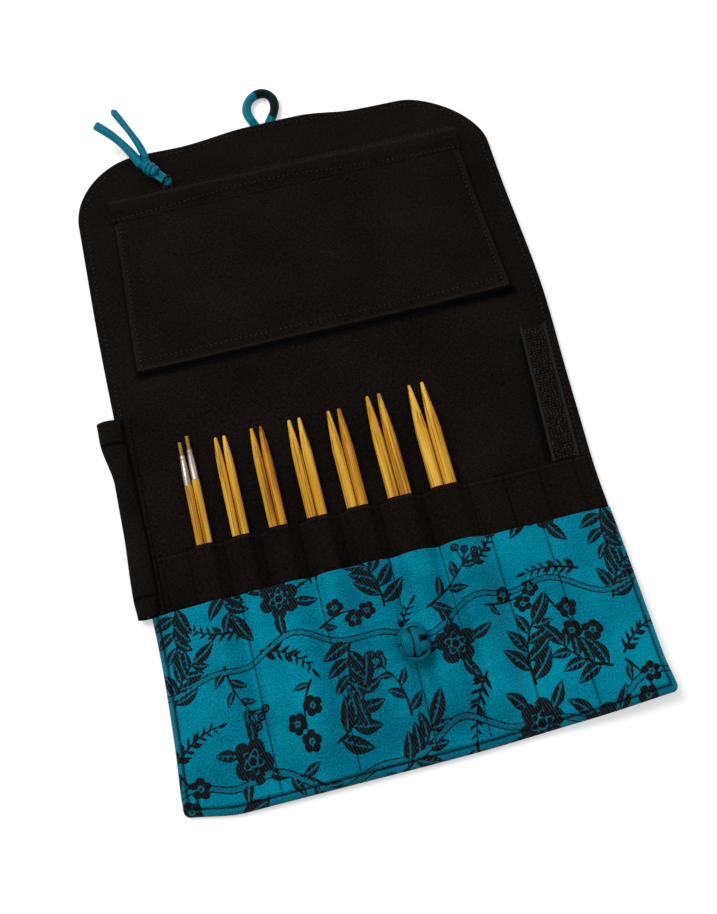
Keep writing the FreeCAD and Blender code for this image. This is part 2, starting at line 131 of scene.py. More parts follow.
def add_object(name: str, data: bpy.types.ID) -> Object:
    """Adds an object to the scene.

    Args:
        name: the object's name.
        data: its mesh, curve, light or camera.
    Returns:
        The new object.
    """
    made = bpy.data.objects.new(name, data)
    bpy.context.scene.collection.objects.link(made)
    return made


def make_object(name: str, points: Grid, faces: list, material: Material, uv: Grid | None = None,
                fields: dict[str, Grid] | None = None) -> Object:
    """Makes a mesh object whose place is in its mesh.

    Args:
        name: the piece's name.
        points: vertices in millimetres.
        faces: vertex indices of each face.
        material: its finish.
        uv: flat cloth coordinates of each vertex in millimetres.
        fields: one number for each vertex, by attribute name.
    Returns:
        The new object.
    """
    mesh = bpy.data.meshes.new(name)
    mesh.from_pydata((np.asarray(points) * MM).tolist(), [], faces)
    if uv is not None:
        layer = mesh.uv_layers.new(name="UVMap")
        loops = np.zeros(len(mesh.loops), np.int32)
        mesh.loops.foreach_get("vertex_index", loops)
        layer.data.foreach_set("uv", (np.asarray(uv, np.float32)[loops] * MM).ravel())
    for key, values in (fields or {}).items():
        attribute = mesh.attributes.new(key, "FLOAT", "POINT")
        attribute.data.foreach_set("value", np.asarray(values, np.float32).ravel())
    mesh.polygons.foreach_set("use_smooth", [True] * len(mesh.polygons))
    mesh.materials.append(material)
    mesh.update()
    return add_object(name, mesh)


def grid_faces(rows: int, columns: int, start: int, up: bool) -> Grid:
    """Quads of a grid of vertices.

    Args:
        rows: number of vertex rows.
        columns: number of vertices in a row.
        start: index of the first vertex.
        up: whether the faces look up.
    Returns:
        Array of quads.
    """
    index = np.arange(rows * columns).reshape(rows, columns) + start
    quads = stacked(index[:-1, :-1], index[:-1, 1:], index[1:, 1:], index[1:, :-1]).reshape(-1, 4)
    return quads if up else quads[:, ::-1]


def thick_sheet(name: str, points: Grid, thickness: float, material: Material, up: bool = True,
                uv: Grid | None = None, fields: dict[str, Grid] | None = None) -> Object:
    """Closed sheet of cloth from the grid of its outer face.

    Args:
        name: the piece's name.
        points: rows of points in millimetres, of shape rows, columns, 3.
        thickness: how thick the cloth is.
        material: its finish.
        up: whether the outer face looks up.
        uv: flat cloth coordinates of the grid; the points' own x and y if left out.
        fields: numbers for each grid point, by attribute name.
    Returns:
        The new object.
    """
    rows, columns = points.shape[:2]
    normal = np.cross(np.gradient(points, axis=1), np.gradient(points, axis=0))
    normal /= np.maximum(np.linalg.norm(normal, axis=2, keepdims=True), 1e-9)
    side = 1.0 if up else -1.0
    inner = points - normal * thickness * side
    count = rows * columns
    index = np.arange(count).reshape(rows, columns)
    rim = np.concatenate([index[0, :], index[1:, -1], index[-1, -2::-1], index[-2:0:-1, 0]])
    after = np.roll(rim, -1)
    walls = stacked(rim, rim + count, after + count, after)
    if not up:
        walls = walls[:, ::-1]
    outer, lower = grid_faces(rows, columns, 0, up), grid_faces(rows, columns, count, not up)
    faces = np.concatenate([outer, lower, walls])
    flat = points[..., :2] if uv is None else uv
    both = np.concatenate([points.reshape(-1, 3), inner.reshape(-1, 3)])
    doubled = {key: np.tile(values.ravel(), 2) for key, values in (fields or {}).items()}
    made = make_object(name, both, faces.tolist(), material, np.tile(flat.reshape(-1, 2), (2, 1)), doubled)
    on_rim = np.zeros(2 * count, bool)
    on_rim[rim] = on_rim[rim + count] = True
    ends = np.zeros(2 * len(made.data.edges), np.int32)
    made.data.edges.foreach_get("vertices", ends)
    sharp = made.data.attributes.new("sharp_edge", "BOOLEAN", "EDGE")
    sharp.data.foreach_set("value", on_rim[ends].reshape(-1, 2).all(1))
    return made


def tube_rings(path: Grid, radius: Grid, sides: int, flat: Grid | None = None) -> Grid:
    """Rings of points round a path, turned as little as possible from one to the next.

    Args:
        path: centre line in millimetres.
        radius: radius at each of its points.
        sides: points in a ring.
        flat: height of each ring as a share of its width.
    Returns:
        Array of shape points, sides, 3.
    """
    path = np.asarray(path, float)
    count = len(path)
    radius = np.broadcast_to(np.asarray(radius, float), count)
    flat = np.ones(count) if flat is None else np.broadcast_to(flat, count)
    tangent = np.gradient(path, axis=0)
    tangent /= np.linalg.norm(tangent, axis=1, keepdims=True)
    up = np.array((0.0, 0.0, 1.0))
    if abs(up @ tangent[0]) > 0.99:
        up = np.array((0.0, 1.0, 0.0))
    frames = []
    for way in tangent:
        up = up - way * (up @ way)
        up /= np.linalg.norm(up)
        frames.append(up.copy())
    frames = np.array(frames)
    sideways = np.cross(tangent, frames)
    turn = np.linspace(0, 2 * math.pi, sides, endpoint=False)
    ring = (sideways[:, None, :] * np.cos(turn)[None, :, None]
            + frames[:, None, :] * np.sin(turn)[None, :, None] * flat[:, None, None])
    return path[:, None, :] + ring * radius[:, None, None]


def tube_faces(rings: int, sides: int) -> list:
    """Faces between the rings of a tube, and its two end caps.

    Args:
        rings: number of rings.
        sides: points in a ring.
    Returns:
        Vertex indices of each face.
    """
    faces = []
    for start in range(0, (rings - 1) * sides, sides):
        for side in range(sides):
            ahead = (side + 1) % sides
            faces.append((start + side, start + ahead, start + sides + ahead, start + sides + side))
    faces.append(tuple(reversed(range(sides))))
    faces.append(tuple((rings - 1) * sides + side for side in range(sides)))
    return faces


def make_tube(name: str, path: Grid, radius: Grid, material: Material, sides: int,
              flat: Grid | None = None, fields: dict[str, Grid] | None = None) -> Object:
    """Closed tube along a path.

    Args:
        name: the piece's name.
        path: centre line in millimetres.
        radius: radius along it.
        material: its finish.
        sides: points in a ring.
        flat: height as a share of the width along it.
        fields: numbers for each path point, by attribute name.
    Returns:
        The new object.
    """
    rings = tube_rings(path, radius, sides, flat)
    turn = np.linspace(0, 1, sides, endpoint=False) * 2 * math.pi * float(np.mean(radius))
    uv = stacked(lengths_along(path)[:, None], turn[None, :]).reshape(-1, 2)
    spread = {key: np.repeat(values, sides) for key, values in (fields or {}).items()}
    return make_object(name, rings.reshape(-1, 3), tube_faces(len(path), sides), material, uv, spread)


def label(piece: Object, slot: str, nodes: tuple[str, ...]) -> None:
    """Hides the CAD nodes that a piece replaces and reports the piece with its slot.

    Args:
        piece: the finished piece.
        slot: the record's material slot.
        nodes: CAD nodes that it replaces.
    """
    if nodes:
        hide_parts(*nodes)
    LOG.info("%s in %s", piece.name, slot)


def settle(piece: Object, body: str, slot: str, *nodes: str) -> None:
    """Rides a piece on a body, hides the CAD nodes that it replaces and reports it with its slot.

    Args:
        piece: the finished piece.
        body: CAD body that it moves with.
        slot: the record's material slot.
        nodes: CAD nodes that it replaces.
    """
    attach(piece, body)
    label(piece, slot, nodes)


def bend_across(piece: Object, bodies: tuple[str, str], start: tuple, end: tuple, slot: str,
                *nodes: str) -> None:
    """Bakes a cloth piece's place into its mesh, hides the CAD nodes that it replaces and reports it with
    its slot.

    Args:
        piece: the finished piece.
        bodies: body before the bend and body after it; not used.
        start: place in millimetres where the bend begins; not used.
        end: place in millimetres where it ends; not used.
        slot: the record's material slot.
        nodes: CAD nodes that it replaces.
    """
    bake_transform(piece)
    label(piece, slot, nodes)


class Graph:
    """Adds nodes to a node tree and wires them."""

    def __init__(self, tree: bpy.types.NodeTree) -> None:
        """Works on a tree."""
        self.tree = tree

    def feed(self, source: Feed, target: Socket) -> None:
        """Wires a socket, or sets a plain value.

        Args:
            source: socket or value.
            target: socket that gets it.
        """
        if isinstance(source, bpy.types.NodeSocket):
            self.tree.links.new(source, target)
        else:
            target.default_value = source

    def node(self, kind: str, inputs: dict | None = None, **settings: str) -> bpy.types.Node:
        """Adds a node, sets its properties and wires or sets its inputs.

        Args:
            kind: type of node.
            inputs: socket or value of each input, by name or number.
            settings: its properties.
        Returns:
            The node.
        """
        made = self.tree.nodes.new(kind)
        for key, value in settings.items():
            setattr(made, key, value)
        for key, value in (inputs or {}).items():
            self.feed(value, made.inputs[key])
        return made


class Paint(Graph):
    """Paints one material with shader nodes."""

    def __init__(self, name: str) -> None:
        """Starts a material with a plain surface shader.

        Args:
            name: the material's name.
        """
        self.material = bpy.data.materials.new(name)
        self.material.use_nodes = True
        super().__init__(self.material.node_tree)
        self.surface = self.tree.nodes["Principled BSDF"]

    def maths(self, operation: str, first: Feed, second: Feed = 0.0, third: Feed = 0.0) -> Socket:
        """One step of arithmetic on sockets or numbers."""
        return self.node("ShaderNodeMath", {0: first, 1: second, 2: third}, operation=operation).outputs[0]

    def times(self, first: Feed, second: Feed) -> Socket:
        """Product of two sockets or numbers."""
        return self.maths("MULTIPLY", first, second)

    def plus(self, first: Feed, second: Feed) -> Socket:
        """Sum of two sockets or numbers."""
        return self.maths("ADD", first, second)

    def part(self, first: Feed, share: Feed, rest: Feed) -> Socket:
        """A share of one thing, added to the rest."""
        return self.maths("MULTIPLY_ADD", first, share, rest)

    def ease(self, value: Feed, low: float, high: float, start: float = 0.0, end: float = 1.0) -> Socket:
        """Eased share of a value between two limits."""
        inputs = dict(enumerate((value, low, high, start, end)))
        return self.node("ShaderNodeMapRange", inputs, interpolation_type="SMOOTHSTEP").outputs[0]

    def noise(self, place: Socket, scale: float, detail: float,
              stretch: tuple[float, float, float] = (1.0, 1.0, 1.0)) -> Socket:
        """Soft noise on places in metres.

        Args:
            place: where the noise is read.
            scale: how fine it is.
            detail: how many finer layers it has.
            stretch: how much finer it is along each axis.
        Returns:
            The noise, from 0 to 1.
        """
        mapping = self.node("ShaderNodeMapping", {"Vector": place, "Scale": stretch})
        inputs = {"Vector": mapping.outputs[0], "Scale": scale, "Detail": detail}
        return self.node("ShaderNodeTexNoise", inputs).outputs["Fac"]

    def mix(self, share: Feed, first: Feed, second: Feed) -> Socket:
        """Colour between two colours."""
        return self.node("ShaderNodeMix", {0: share, 6: first, 7: second}, data_type="RGBA").outputs[2]

    def cloth_place(self) -> Socket:
        """Flat cloth coordinates in metres."""
        return self.node("ShaderNodeUVMap", uv_map="UVMap").outputs[0]

    def object_place(self) -> Socket:
        """Coordinates of the object in metres."""
        return self.node("ShaderNodeTexCoord").outputs["Object"]

    def split(self, place: Socket) -> tuple[Socket, ...]:
        """The three parts of a vector."""
        return tuple(self.node("ShaderNodeSeparateXYZ", {0: place}).outputs)

    def number(self, name: str) -> Socket:
        """An attribute of the mesh."""
        return self.node("ShaderNodeAttribute", attribute_name=name).outputs["Fac"]

    def wave(self, place: Socket, period: float) -> Socket:
        """Wave from -1 to 1 with a period in metres."""
        return self.maths("SINE", self.times(place, 2 * math.pi / period))

    def relief(self, height: Socket, depth: float, strength: float = 1.0) -> None:
        """Bump from a height of 0 to 1 and a depth in metres."""
        bump = self.node("ShaderNodeBump", {"Strength": strength, "Distance": depth, "Height": height})
        self.feed(bump.outputs[0], self.surface.inputs["Normal"])

    def set(self, **values: Feed) -> None:
        """Sets sockets of the surface by name, with underscores for spaces."""
        for key, value in values.items():
            self.feed(value, self.surface.inputs[key.replace("_", " ")])


def tone(red: float, green: float, blue: float) -> Colour:
    """Shader colour from screen values of 0 to 255.

    Args:
        red: red, from 0 to 255.
        green: green.
        blue: blue.
    Returns:
        The colour without its display curve.
    """
    def linear(value: float) -> float:
        """One channel without its display curve."""
        share = value / 255.0
        return share / 12.92 if share <= 0.04045 else ((share + 0.055) / 1.055) ** 2.4
    return linear(red), linear(green), linear(blue), 1.0


@dataclass(frozen=True)
class Finish:
    """A named finish, which paints its own material."""
    name: str

    def material(self) -> Material:
        """Builds the material.

        Returns:
            The painted material.
        """
        paint = Paint(self.name)
        self.cover(paint)
        return paint.material

    def cover(self, paint: Paint) -> None:
        """Paints the finish, which each kind does in its own way."""
        raise NotImplementedError


@dataclass(frozen=True)
class Cotton(Finish):
    """Plain-woven cotton, dyed."""
    colour: Colour
    # paler tone: the cloth's own uneven tone, and also the painted highlight where the attribute read below
    # is negative
    faded_and_highlight: Colour
    thread: float = 0.00046
    roughness: float = 0.9
    gloss: float = 0.05

    def cover(self, paint: Paint) -> None:
        """Paints the finish.

        Args:
            paint: the material to paint.
        """
        place = paint.cloth_place()
        across, along, _ = paint.split(place)
        weft = paint.wave(across, self.thread)
        warp = paint.wave(along, self.thread)
        weave = paint.times(weft, warp)
        slub = paint.plus(paint.noise(place, 1500.0, 2.0, (0.45, 1.0, 1.0)),
                          paint.noise(place, 1500.0, 2.0, (1.0, 0.45, 1.0)))
        cloud = paint.noise(place, 28.0, 3.0)
        share = paint.part(weave, 0.16, paint.times(slub, 0.5))
        share = paint.part(cloud, 0.3, share)
        # painted shade: the attribute read here darkens the cloth along edges, seams, valleys and in dark
        # lines on the lining; negative values lighten it, a painted highlight
        share = paint.part(paint.number("painted_shade"), -0.5, share)
        paint.set(Base_Color=paint.mix(paint.ease(share, 0.47, 0.97), self.colour, self.faded_and_highlight),
                  Roughness=self.roughness, Specular_IOR_Level=self.gloss)
        paint.relief(paint.plus(weave, paint.times(slub, 0.9)), 0.00008, 0.8)


@dataclass(frozen=True)
class Brocade(Finish):
    """Satin ground with a raised dark figure woven into it."""
    ground: Colour
    ground_light: Colour
    figure: Colour
    figure_light: Colour
    gloss: Colour

    def cover(self, paint: Paint) -> None:
        """Paints the finish.

        Args:
            paint: the material to paint.
        """
        place = paint.cloth_place()
        across, along, _ = paint.split(place)
        jag = paint.noise(place, 2600.0, 1.0)
        edge = paint.part(jag, 0.30, paint.maths("SUBTRACT", paint.number("figure"), 0.15))
        inside = paint.ease(edge, -0.10, 0.10, 1.0, 0.0)
        gap = paint.ease(paint.part(jag, 0.2, paint.number("vein")), -0.02, 0.30, 1.0, 0.0)
        rib = paint.wave(paint.plus(across, paint.times(along, 0.35)), 0.0012)
        hatch = paint.times(paint.ease(rib, 0.72, 0.95), paint.number("hatch"))
        gap = paint.maths("MAXIMUM", gap, paint.times(hatch, 0.30))
        inked = paint.times(inside, paint.part(gap, -0.72, 1.0))
        cloud = paint.noise(place, 24.0, 3.0)
        streak = paint.noise(place, 900.0, 3.0, (0.10, 1.0, 1.0))
        speck = paint.noise(place, 1500.0, 1.0)
        sheen = paint.plus(paint.times(cloud, 1.2), paint.times(streak, 0.22))
        sheen = paint.part(speck, 1.25, sheen)
        ground = paint.mix(paint.ease(sheen, 0.88, 1.86), self.ground, self.ground_light)
        # painted shade: the attribute read here mixes the ground towards the dark figure colour at seams,
        # the hem's groove and the turned outer edges
        ground = paint.mix(paint.times(paint.number("painted_shade"), 0.7), ground, self.figure)
        figure = paint.mix(paint.ease(rib, 0.1, 1.0), self.figure, self.figure_light)
        paint.set(Base_Color=paint.mix(inked, ground, figure),
                  Roughness=paint.ease(inked, 0.0, 1.0, 0.44, 0.7),
                  Specular_IOR_Level=paint.ease(inked, 0.0, 1.0, 0.34, 0.08), Specular_Tint=self.gloss)
        floats = paint.wave(along, 0.00032)
        height = paint.plus(paint.times(inked, 1.2), paint.times(floats, 0.10))
        height = paint.plus(height, paint.times(paint.times(rib, inked), 0.22))
        paint.relief(paint.plus(height, paint.times(streak, 0.3)), 0.00014, 0.9)


@dataclass(frozen=True)
class SatinTube(Finish):
    """Turned satin tube, darkened towards the figure colour where its dark attribute is high: dark figure
    where the cloth has it, and painted shade in the knot's crevices, its core, the bend round the bail and
    the open tail end.
    """
    ground: Colour
    ground_light: Colour
    figure: Colour
    gloss: Colour

    def cover(self, paint: Paint) -> None:
        """Paints the finish.

        Args:
            paint: the material to paint.
        """
        place = paint.cloth_place()
        along, across, _ = paint.split(place)
        twill = paint.wave(paint.plus(along, across), 0.0010)
        soft = paint.noise(place, 260.0, 3.0, (0.3, 1.0, 1.0))
        # the dark attribute: the cloth's dark figure, and painted shade where the knot, the bail bend and
        # the tail end set it
        edge = paint.part(soft, 0.8, paint.number("dark"))
        strand = paint.noise(place, 1100.0, 2.0, (0.06, 1.0, 1.0))
        shade = paint.part(strand, 0.9, paint.part(twill, 0.4, soft))
        ground = paint.mix(paint.ease(shade, 0.75, 1.55), self.ground, self.ground_light)
        dark = paint.ease(edge, 0.75, 0.95)
        paint.set(Base_Color=paint.mix(dark, ground, self.figure), Roughness=0.4,
                  Specular_IOR_Level=paint.ease(dark, 0.0, 1.0, 0.6, 0.1), Specular_Tint=self.gloss)
        paint.relief(paint.plus(twill, paint.times(soft, 5.0)), 0.00005, 0.8)


@dataclass(frozen=True)
class Bamboo(Finish):
    """Polished bamboo with long fibres along the needle."""
    pale: Colour
    deep: Colour
    fibre: Colour
    shift: float

    def cover(self, paint: Paint) -> None:
        """Paints the finish.

        Args:
            paint: the material to paint.
        """
        inputs = {"Vector": paint.object_place(), "Location": (self.shift, self.shift, 0.0)}
        place = paint.node("ShaderNodeMapping", inputs).outputs[0]
        grain = paint.noise(place, 620.0, 4.0, (1.0, 0.035, 1.0))
        bands = paint.noise(place, 150.0, 2.0, (1.0, 0.10, 1.0))
        lines = paint.noise(place, 1300.0, 2.0, (1.0, 0.016, 1.0))
        ground = paint.mix(paint.ease(paint.plus(grain, bands), 0.82, 1.18), self.deep, self.pale)
        paint.set(Base_Color=paint.mix(paint.ease(lines, 0.51, 0.64, 0.0, 0.85), ground, self.fibre),
                  Roughness=paint.ease(grain, 0.3, 0.7, 0.66, 0.56), Specular_IOR_Level=0.2)
        paint.relief(grain, 0.00003, 0.5)


@dataclass(frozen=True)
class Connector(Finish):
    """Nickel ferrule whose threaded stud is brass, told apart along the needle."""
    metal: Colour
    stud: Colour
    stud_from: float
    stud_above: bool

    def cover(self, paint: Paint) -> None:
        """Paints the finish.

        Args:
            paint: the material to paint.
        """
        place = paint.object_place()
        _, along, _ = paint.split(place)
        order = "GREATER_THAN" if self.stud_above else "LESS_THAN"
        is_stud = paint.maths(order, along, self.stud_from)
        brushed = paint.noise(place, 700.0, 3.0, (1.0, 0.08, 1.0))
        shaded = tuple(0.45 * part for part in self.metal)
        ground = paint.mix(paint.ease(brushed, 0.35, 0.65), self.metal, shaded)
        paint.set(Base_Color=paint.mix(is_stud, ground, self.stud), Metallic=0.45,
                  Roughness=paint.ease(brushed, 0.3, 0.7, 0.3, 0.42), Specular_IOR_Level=0.35)
        paint.relief(brushed, 0.00003, 0.5)


@dataclass(frozen=True)
class Moulded(Finish):
    """Nylon, enamel, thread or felt: one colour with a fine uneven surface."""
    colour: Colour
    light: Colour
    roughness: float
    grain: float = 1500.0
    depth: float = 0.00004
    gloss: float = 0.12

    def cover(self, paint: Paint) -> None:
        """Paints the finish.

        Args:
            paint: the material to paint.
        """
        grain = paint.noise(paint.object_place(), self.grain, 3.0)
        paint.set(Base_Color=paint.mix(paint.ease(grain, 0.3, 0.75), self.colour, self.light),
                  Roughness=paint.ease(grain, 0.3, 0.7, self.roughness, min(1.0, self.roughness + 0.12)),
                  Specular_IOR_Level=self.gloss)
        paint.relief(grain, self.depth, 0.7)


@dataclass(frozen=True)
class Thread(Finish):
    """Sewing thread, with dark spots where it goes down into the cloth: painted shade in the needle holes.
    """
    colour: Colour
    light: Colour
    hole_shade: Colour

    def cover(self, paint: Paint) -> None:
        """Paints the finish.

        Args:
            paint: the material to paint.
        """
        grain = paint.noise(paint.object_place(), 1500.0, 3.0)
        strand = paint.mix(paint.ease(grain, 0.3, 0.75), self.colour, self.light)
        # dark spots between the stitches: painted shade in the needle holes
        paint.set(Base_Color=paint.mix(paint.number("hole_shade"), strand, self.hole_shade), Roughness=0.9,
                  Specular_IOR_Level=0.03)
        paint.relief(grain, 0.00004, 0.7)


@dataclass(frozen=True)
class Ribbed(Finish):
    """Woven tape with ribs across it."""
    colour: Colour
    light: Colour
    rib: float = 0.0008

    def cover(self, paint: Paint) -> None:
        """Paints the finish.

        Args:
            paint: the material to paint.
        """
        place = paint.cloth_place()
        across, along, _ = paint.split(place)
        ribs = paint.times(paint.wave(across, self.rib), paint.wave(along, self.rib * 0.7))
        dust = paint.noise(place, 1200.0, 2.0)
        # painted shade: the attribute read here darkens the ground where the pile stands, shade among the
        # pile bits
        share = paint.maths("SUBTRACT", paint.plus(ribs, dust), paint.number("painted_shade"))
        paint.set(Base_Color=paint.mix(paint.ease(share, 0.0, 1.4), self.colour, self.light),
                  Roughness=0.8, Specular_IOR_Level=0.06)
        paint.relief(ribs, 0.00010, 0.8)


class Shade(Enum):
    """Shades of bamboo."""
    GOLDEN = "golden"
    HONEY = "honey"
    BROWN = "brown"


class Finishes:
    """Every finish of the case, built once."""

    def __init__(self) -> None:
        """Builds the materials."""
        teal, teal_light, gloss = tone(0, 80, 103), tone(0, 146, 172), (0.0, 0.62, 0.74, 1.0)
        ink, ink_light = tone(15, 12, 13), tone(36, 31, 33)
        self.cotton = Cotton("black_cotton", tone(1, 0, 0), tone(35, 28, 22)).material()
        self.brocade = Brocade("teal_brocade", teal, teal_light, ink, ink_light, gloss).material()
        self.tube = SatinTube("satin_tube", tone(0, 70, 90), tone(0, 124, 149), ink, gloss).material()
        self.felt = Moulded("interlining_felt", tone(205, 200, 190), tone(225, 221, 212), 0.95).material()
        self.thread = Thread("black_thread", tone(36, 32, 27), tone(60, 54, 47), tone(2, 1, 1)).material()
        self.dark_thread = Thread("dark_thread", tone(6, 7, 8), tone(15, 17, 19), tone(3, 6, 7)).material()
        self.tape = Ribbed("fastening_tape_ground", tone(5, 5, 3), tone(56, 55, 47)).material()
        self.pile = Moulded("tape_pile", tone(20, 20, 16), tone(50, 48, 41), 0.8, 420.0,
                            gloss=0.05).material()
        self.zip_tape = Ribbed("zip_tape_weave", tone(11, 9, 8), tone(25, 22, 19), 0.0011).material()
        self.nylon = Moulded("zip_nylon", tone(8, 7, 6), tone(19, 17, 15), 0.6, gloss=0.04).material()
        self.enamel = Moulded("black_enamel", tone(9, 9, 9), tone(22, 21, 20), 0.45, 900.0).material()
        shades = {
            Shade.GOLDEN: (tone(228, 180, 62), tone(200, 144, 30), tone(140, 88, 8), 0.0),
            Shade.HONEY: (tone(216, 162, 46), tone(184, 124, 18), tone(124, 74, 4), 0.37),
            Shade.BROWN: (tone(204, 142, 32), tone(170, 106, 10), tone(112, 62, 2), 0.71)}
        self.bamboo = {shade: Bamboo("bamboo_" + shade.value, *looks).material()
                       for shade, looks in shades.items()}


class CaseShape:
    """How the sewn case lies: its outline, its turned edges and its gentle unevenness, in millimetres."""

    turned_edge = 1.6
    low_radius = 2.4
    high_radius = 36.0
    # waves of the two sides, each with its height, place and width
    right_waves = ((2.7, 66.0, 42.0), (-0.9, -28.0, 22.0), (1.4, -124.0, 9.0))
    left_waves = ((-0.8, 85.0, 45.0), (1.0, -66.0, 28.0), (-1.3, -122.0, 16.0))

    def __init__(self) -> None:
        """Reads the places of the panels from the frame."""
        body_low, body_high = box_mm("lining_body")
        cover_low, _ = box_mm("outer_cover_body")
        _, flap_high = box_mm("lining_flap")
        self.left, self.right = body_low.x, body_high.x
        self.half = (self.right - self.left) / 2
        self.low, self.high = body_low.y, flap_high.y
        self.top_z, self.under_z = body_high.z, cover_low.z
        self.mid_z = (self.top_z + self.under_z) / 2
        self.body_fold = self.joint_place("spine_fold").y
        self.flap_fold = self.joint_place("flap_fold").y
        self.spine_middle = round((self.body_fold + self.flap_fold) / 2, 3)

    @staticmethod
    def joint_place(name: str) -> Vector:
        """Place of a hinge in millimetres."""
        joint = next(j for j in frame["joints"] if j["name"] == name)
        return Vector(joint["pos_m"]) / MM

    def half_width(self, y: Grid) -> Grid:
        """Half of the panel's width at a place along it.

        Args:
            y: places along the case.
        Returns:
            The half widths.
        """
        y = np.asarray(y, float)
        rise = np.clip(y - (self.high - self.high_radius), 0.0, self.high_radius)
        fall = np.clip((self.low + self.low_radius) - y, 0.0, self.low_radius)
        cut = self.high_radius - np.sqrt(self.high_radius ** 2 - rise ** 2)
        cut = cut + self.low_radius - np.sqrt(self.low_radius ** 2 - fall ** 2)
        return self.half - cut

    def edge(self, x: Grid, y: Grid) -> Grid:
        """Distance from the panel's outline.

        Args:
            x: places across the case.
            y: places along the case.
        Returns:
            The distances.
        """
        side = self.half - np.abs(x)
        inside = np.minimum(side, np.minimum(y - self.low, self.high - y))
        for radius, corner in ((self.high_radius, self.high - y), (self.low_radius, y - self.low)):
            in_corner = (side < radius) & (corner < radius)
            round_gap = radius - np.hypot(radius - side, radius - corner)
            inside = np.where(in_corner, round_gap, inside)
        return np.maximum(inside, 0.0)

    def turn(self, x: Grid, y: Grid) -> Grid:
        """How far the cloth turns in at the sewn edge."""
        return (self.top_z - self.mid_z) * (1.0 - round_over(self.edge(x, y), self.turned_edge))

    def drift(self, points: Grid) -> Grid:
        """Moves points of the cloth in its plane, as sewing and handling have drawn it.

        Args:
            points: places in millimetres.
        Returns:
            The moved places.
        """
        x, y = points[..., 0], points[..., 1]
        flap = smooth_step(138.0, self.high, y)
        bow = -0.3 - 2.8 * smooth_step(-12.0, -48.0, x) - 3.0 * smooth_step(14.0, 42.0, x)
        corner = -4.0 * smooth_step(62.0, 95.0, x) * smooth_step(125.0, 165.0, y)
        hem = smooth_step(-104.0, -78.0, x) * smooth_step(110.0, 40.0, x) * smooth_step(-92.0, self.low, y)
        belly = (-4.0 + 1.1 * bell(x - 52.0, 24.0)) * hem
        right, left = (sum(height * bell(y - place, width) for height, place, width in waves)
                       for waves in (self.right_waves, self.left_waves))
        moved = np.array(points, float)
        moved[..., 0] += right * smooth_step(44.0, self.right, x) + left * smooth_step(-82.0, self.left, x)
        moved[..., 1] += flap * bow + corner + belly
        return moved

    def lift(self, x: Grid, y: Grid) -> Grid:
        """Height of the whole sandwich above its flat place.

        Args:
            x: places across the case.
            y: places along the case.
        Returns:
            The heights.
        """
        right_low = smooth_step(70.0, 0.0, np.hypot(x - self.right, (y - self.low) * 0.85))
        left_low = smooth_step(46.0, 0.0, np.hypot(x - self.left, y - self.low))
        left_high = smooth_step(46.0, 0.0, np.hypot(x - self.left, (y - self.high + 40.0) * 0.5))
        right_side = smooth_step(26.0, 0.0, self.right - x) * smooth_step(70.0, 110.0, y)
        top_wave = smooth_step(18.0, 0.0, self.high - y) * np.sin(x * 0.062 + 0.8)
        return 4.2 * right_low - 1.0 * left_low + 0.9 * left_high + 0.7 * right_side + 0.5 * top_wave

    def ripple(self, x: Grid, y: Grid) -> Grid:
        """Small unevenness of the lining.

        Args:
            x: places across the case.
            y: places along the case.
        Returns:
            The heights.
        """
        slow = np.sin(x * 0.071 + 1.3 * np.sin(y * 0.043)) * np.sin(y * 0.058 + 0.6)
        quick = np.sin(x * 0.19 + y * 0.11) * np.sin(y * 0.17 - x * 0.05)
        return 0.16 * slow + 0.05 * quick

    def top(self, x: Grid, y: Grid) -> Grid:
        """Height of the lining's upper face."""
        inner = smooth_step(0.0, 8.0, self.edge(x, y))
        return self.top_z + self.lift(x, y) + self.ripple(x, y) * inner - self.turn(x, y)

    def under(self, x: Grid, y: Grid) -> Grid:
        """Height of the cover's lower face."""
        return self.under_z + self.lift(x, y) + self.turn(x, y)

    def grid(self, low: float, high: float, step: float) -> tuple[Grid, Grid]:
        """Grid of places over the panel between two places along it, fine at its edges.

        Args:
            low: first place along the case.
            high: last place along the case.
            step: wanted distance between points.
        Returns:
            The x and y of each grid point.
        """
        half = self.half
        near = np.array([0.0, 0.12, 0.4, 0.8, 1.3, 2.0, 3.0])
        inner = np.linspace(-half + 4.2, half - 4.2, int((2 * half - 8.4) / step) + 1)
        columns = np.concatenate([-half + near, inner, half - near[::-1]])
        rows = [np.linspace(low, high, int((high - low) / step) + 2)]
        for radius, centre, sign in ((self.high_radius, self.high - self.high_radius, 1.0),
                                     (self.low_radius, self.low + self.low_radius, -1.0)):
            angles = np.linspace(0.0, math.pi / 2, int(radius * 1.6 / step) + 14)
            rows.append(centre + sign * radius * np.sin(angles))
        rows = np.unique(np.round(np.concatenate(rows), 4))
        rows = rows[(rows >= low - 1e-6) & (rows <= high + 1e-6)]
        keep = np.concatenate([[True], np.diff(rows) > 0.06])
        keep[-1] = True
        rows = rows[keep]
        share = columns / half
        x = share[None, :] * self.half_width(rows)[:, None]
        return x, np.broadcast_to(rows[:, None], x.shape).copy()


def heading(angle: float) -> Grid:
    """Step of length 1 in a direction."""
    return np.array([math.cos(angle), math.sin(angle)])


class Motif(Enum):
    """Kinds of woven motif, one for each cell of the design."""
    FERN = "fern"
    LEAVES = "leaves"
    BLOSSOM = "blossom"
    BUDS = "buds"
    CLUSTER = "cluster"


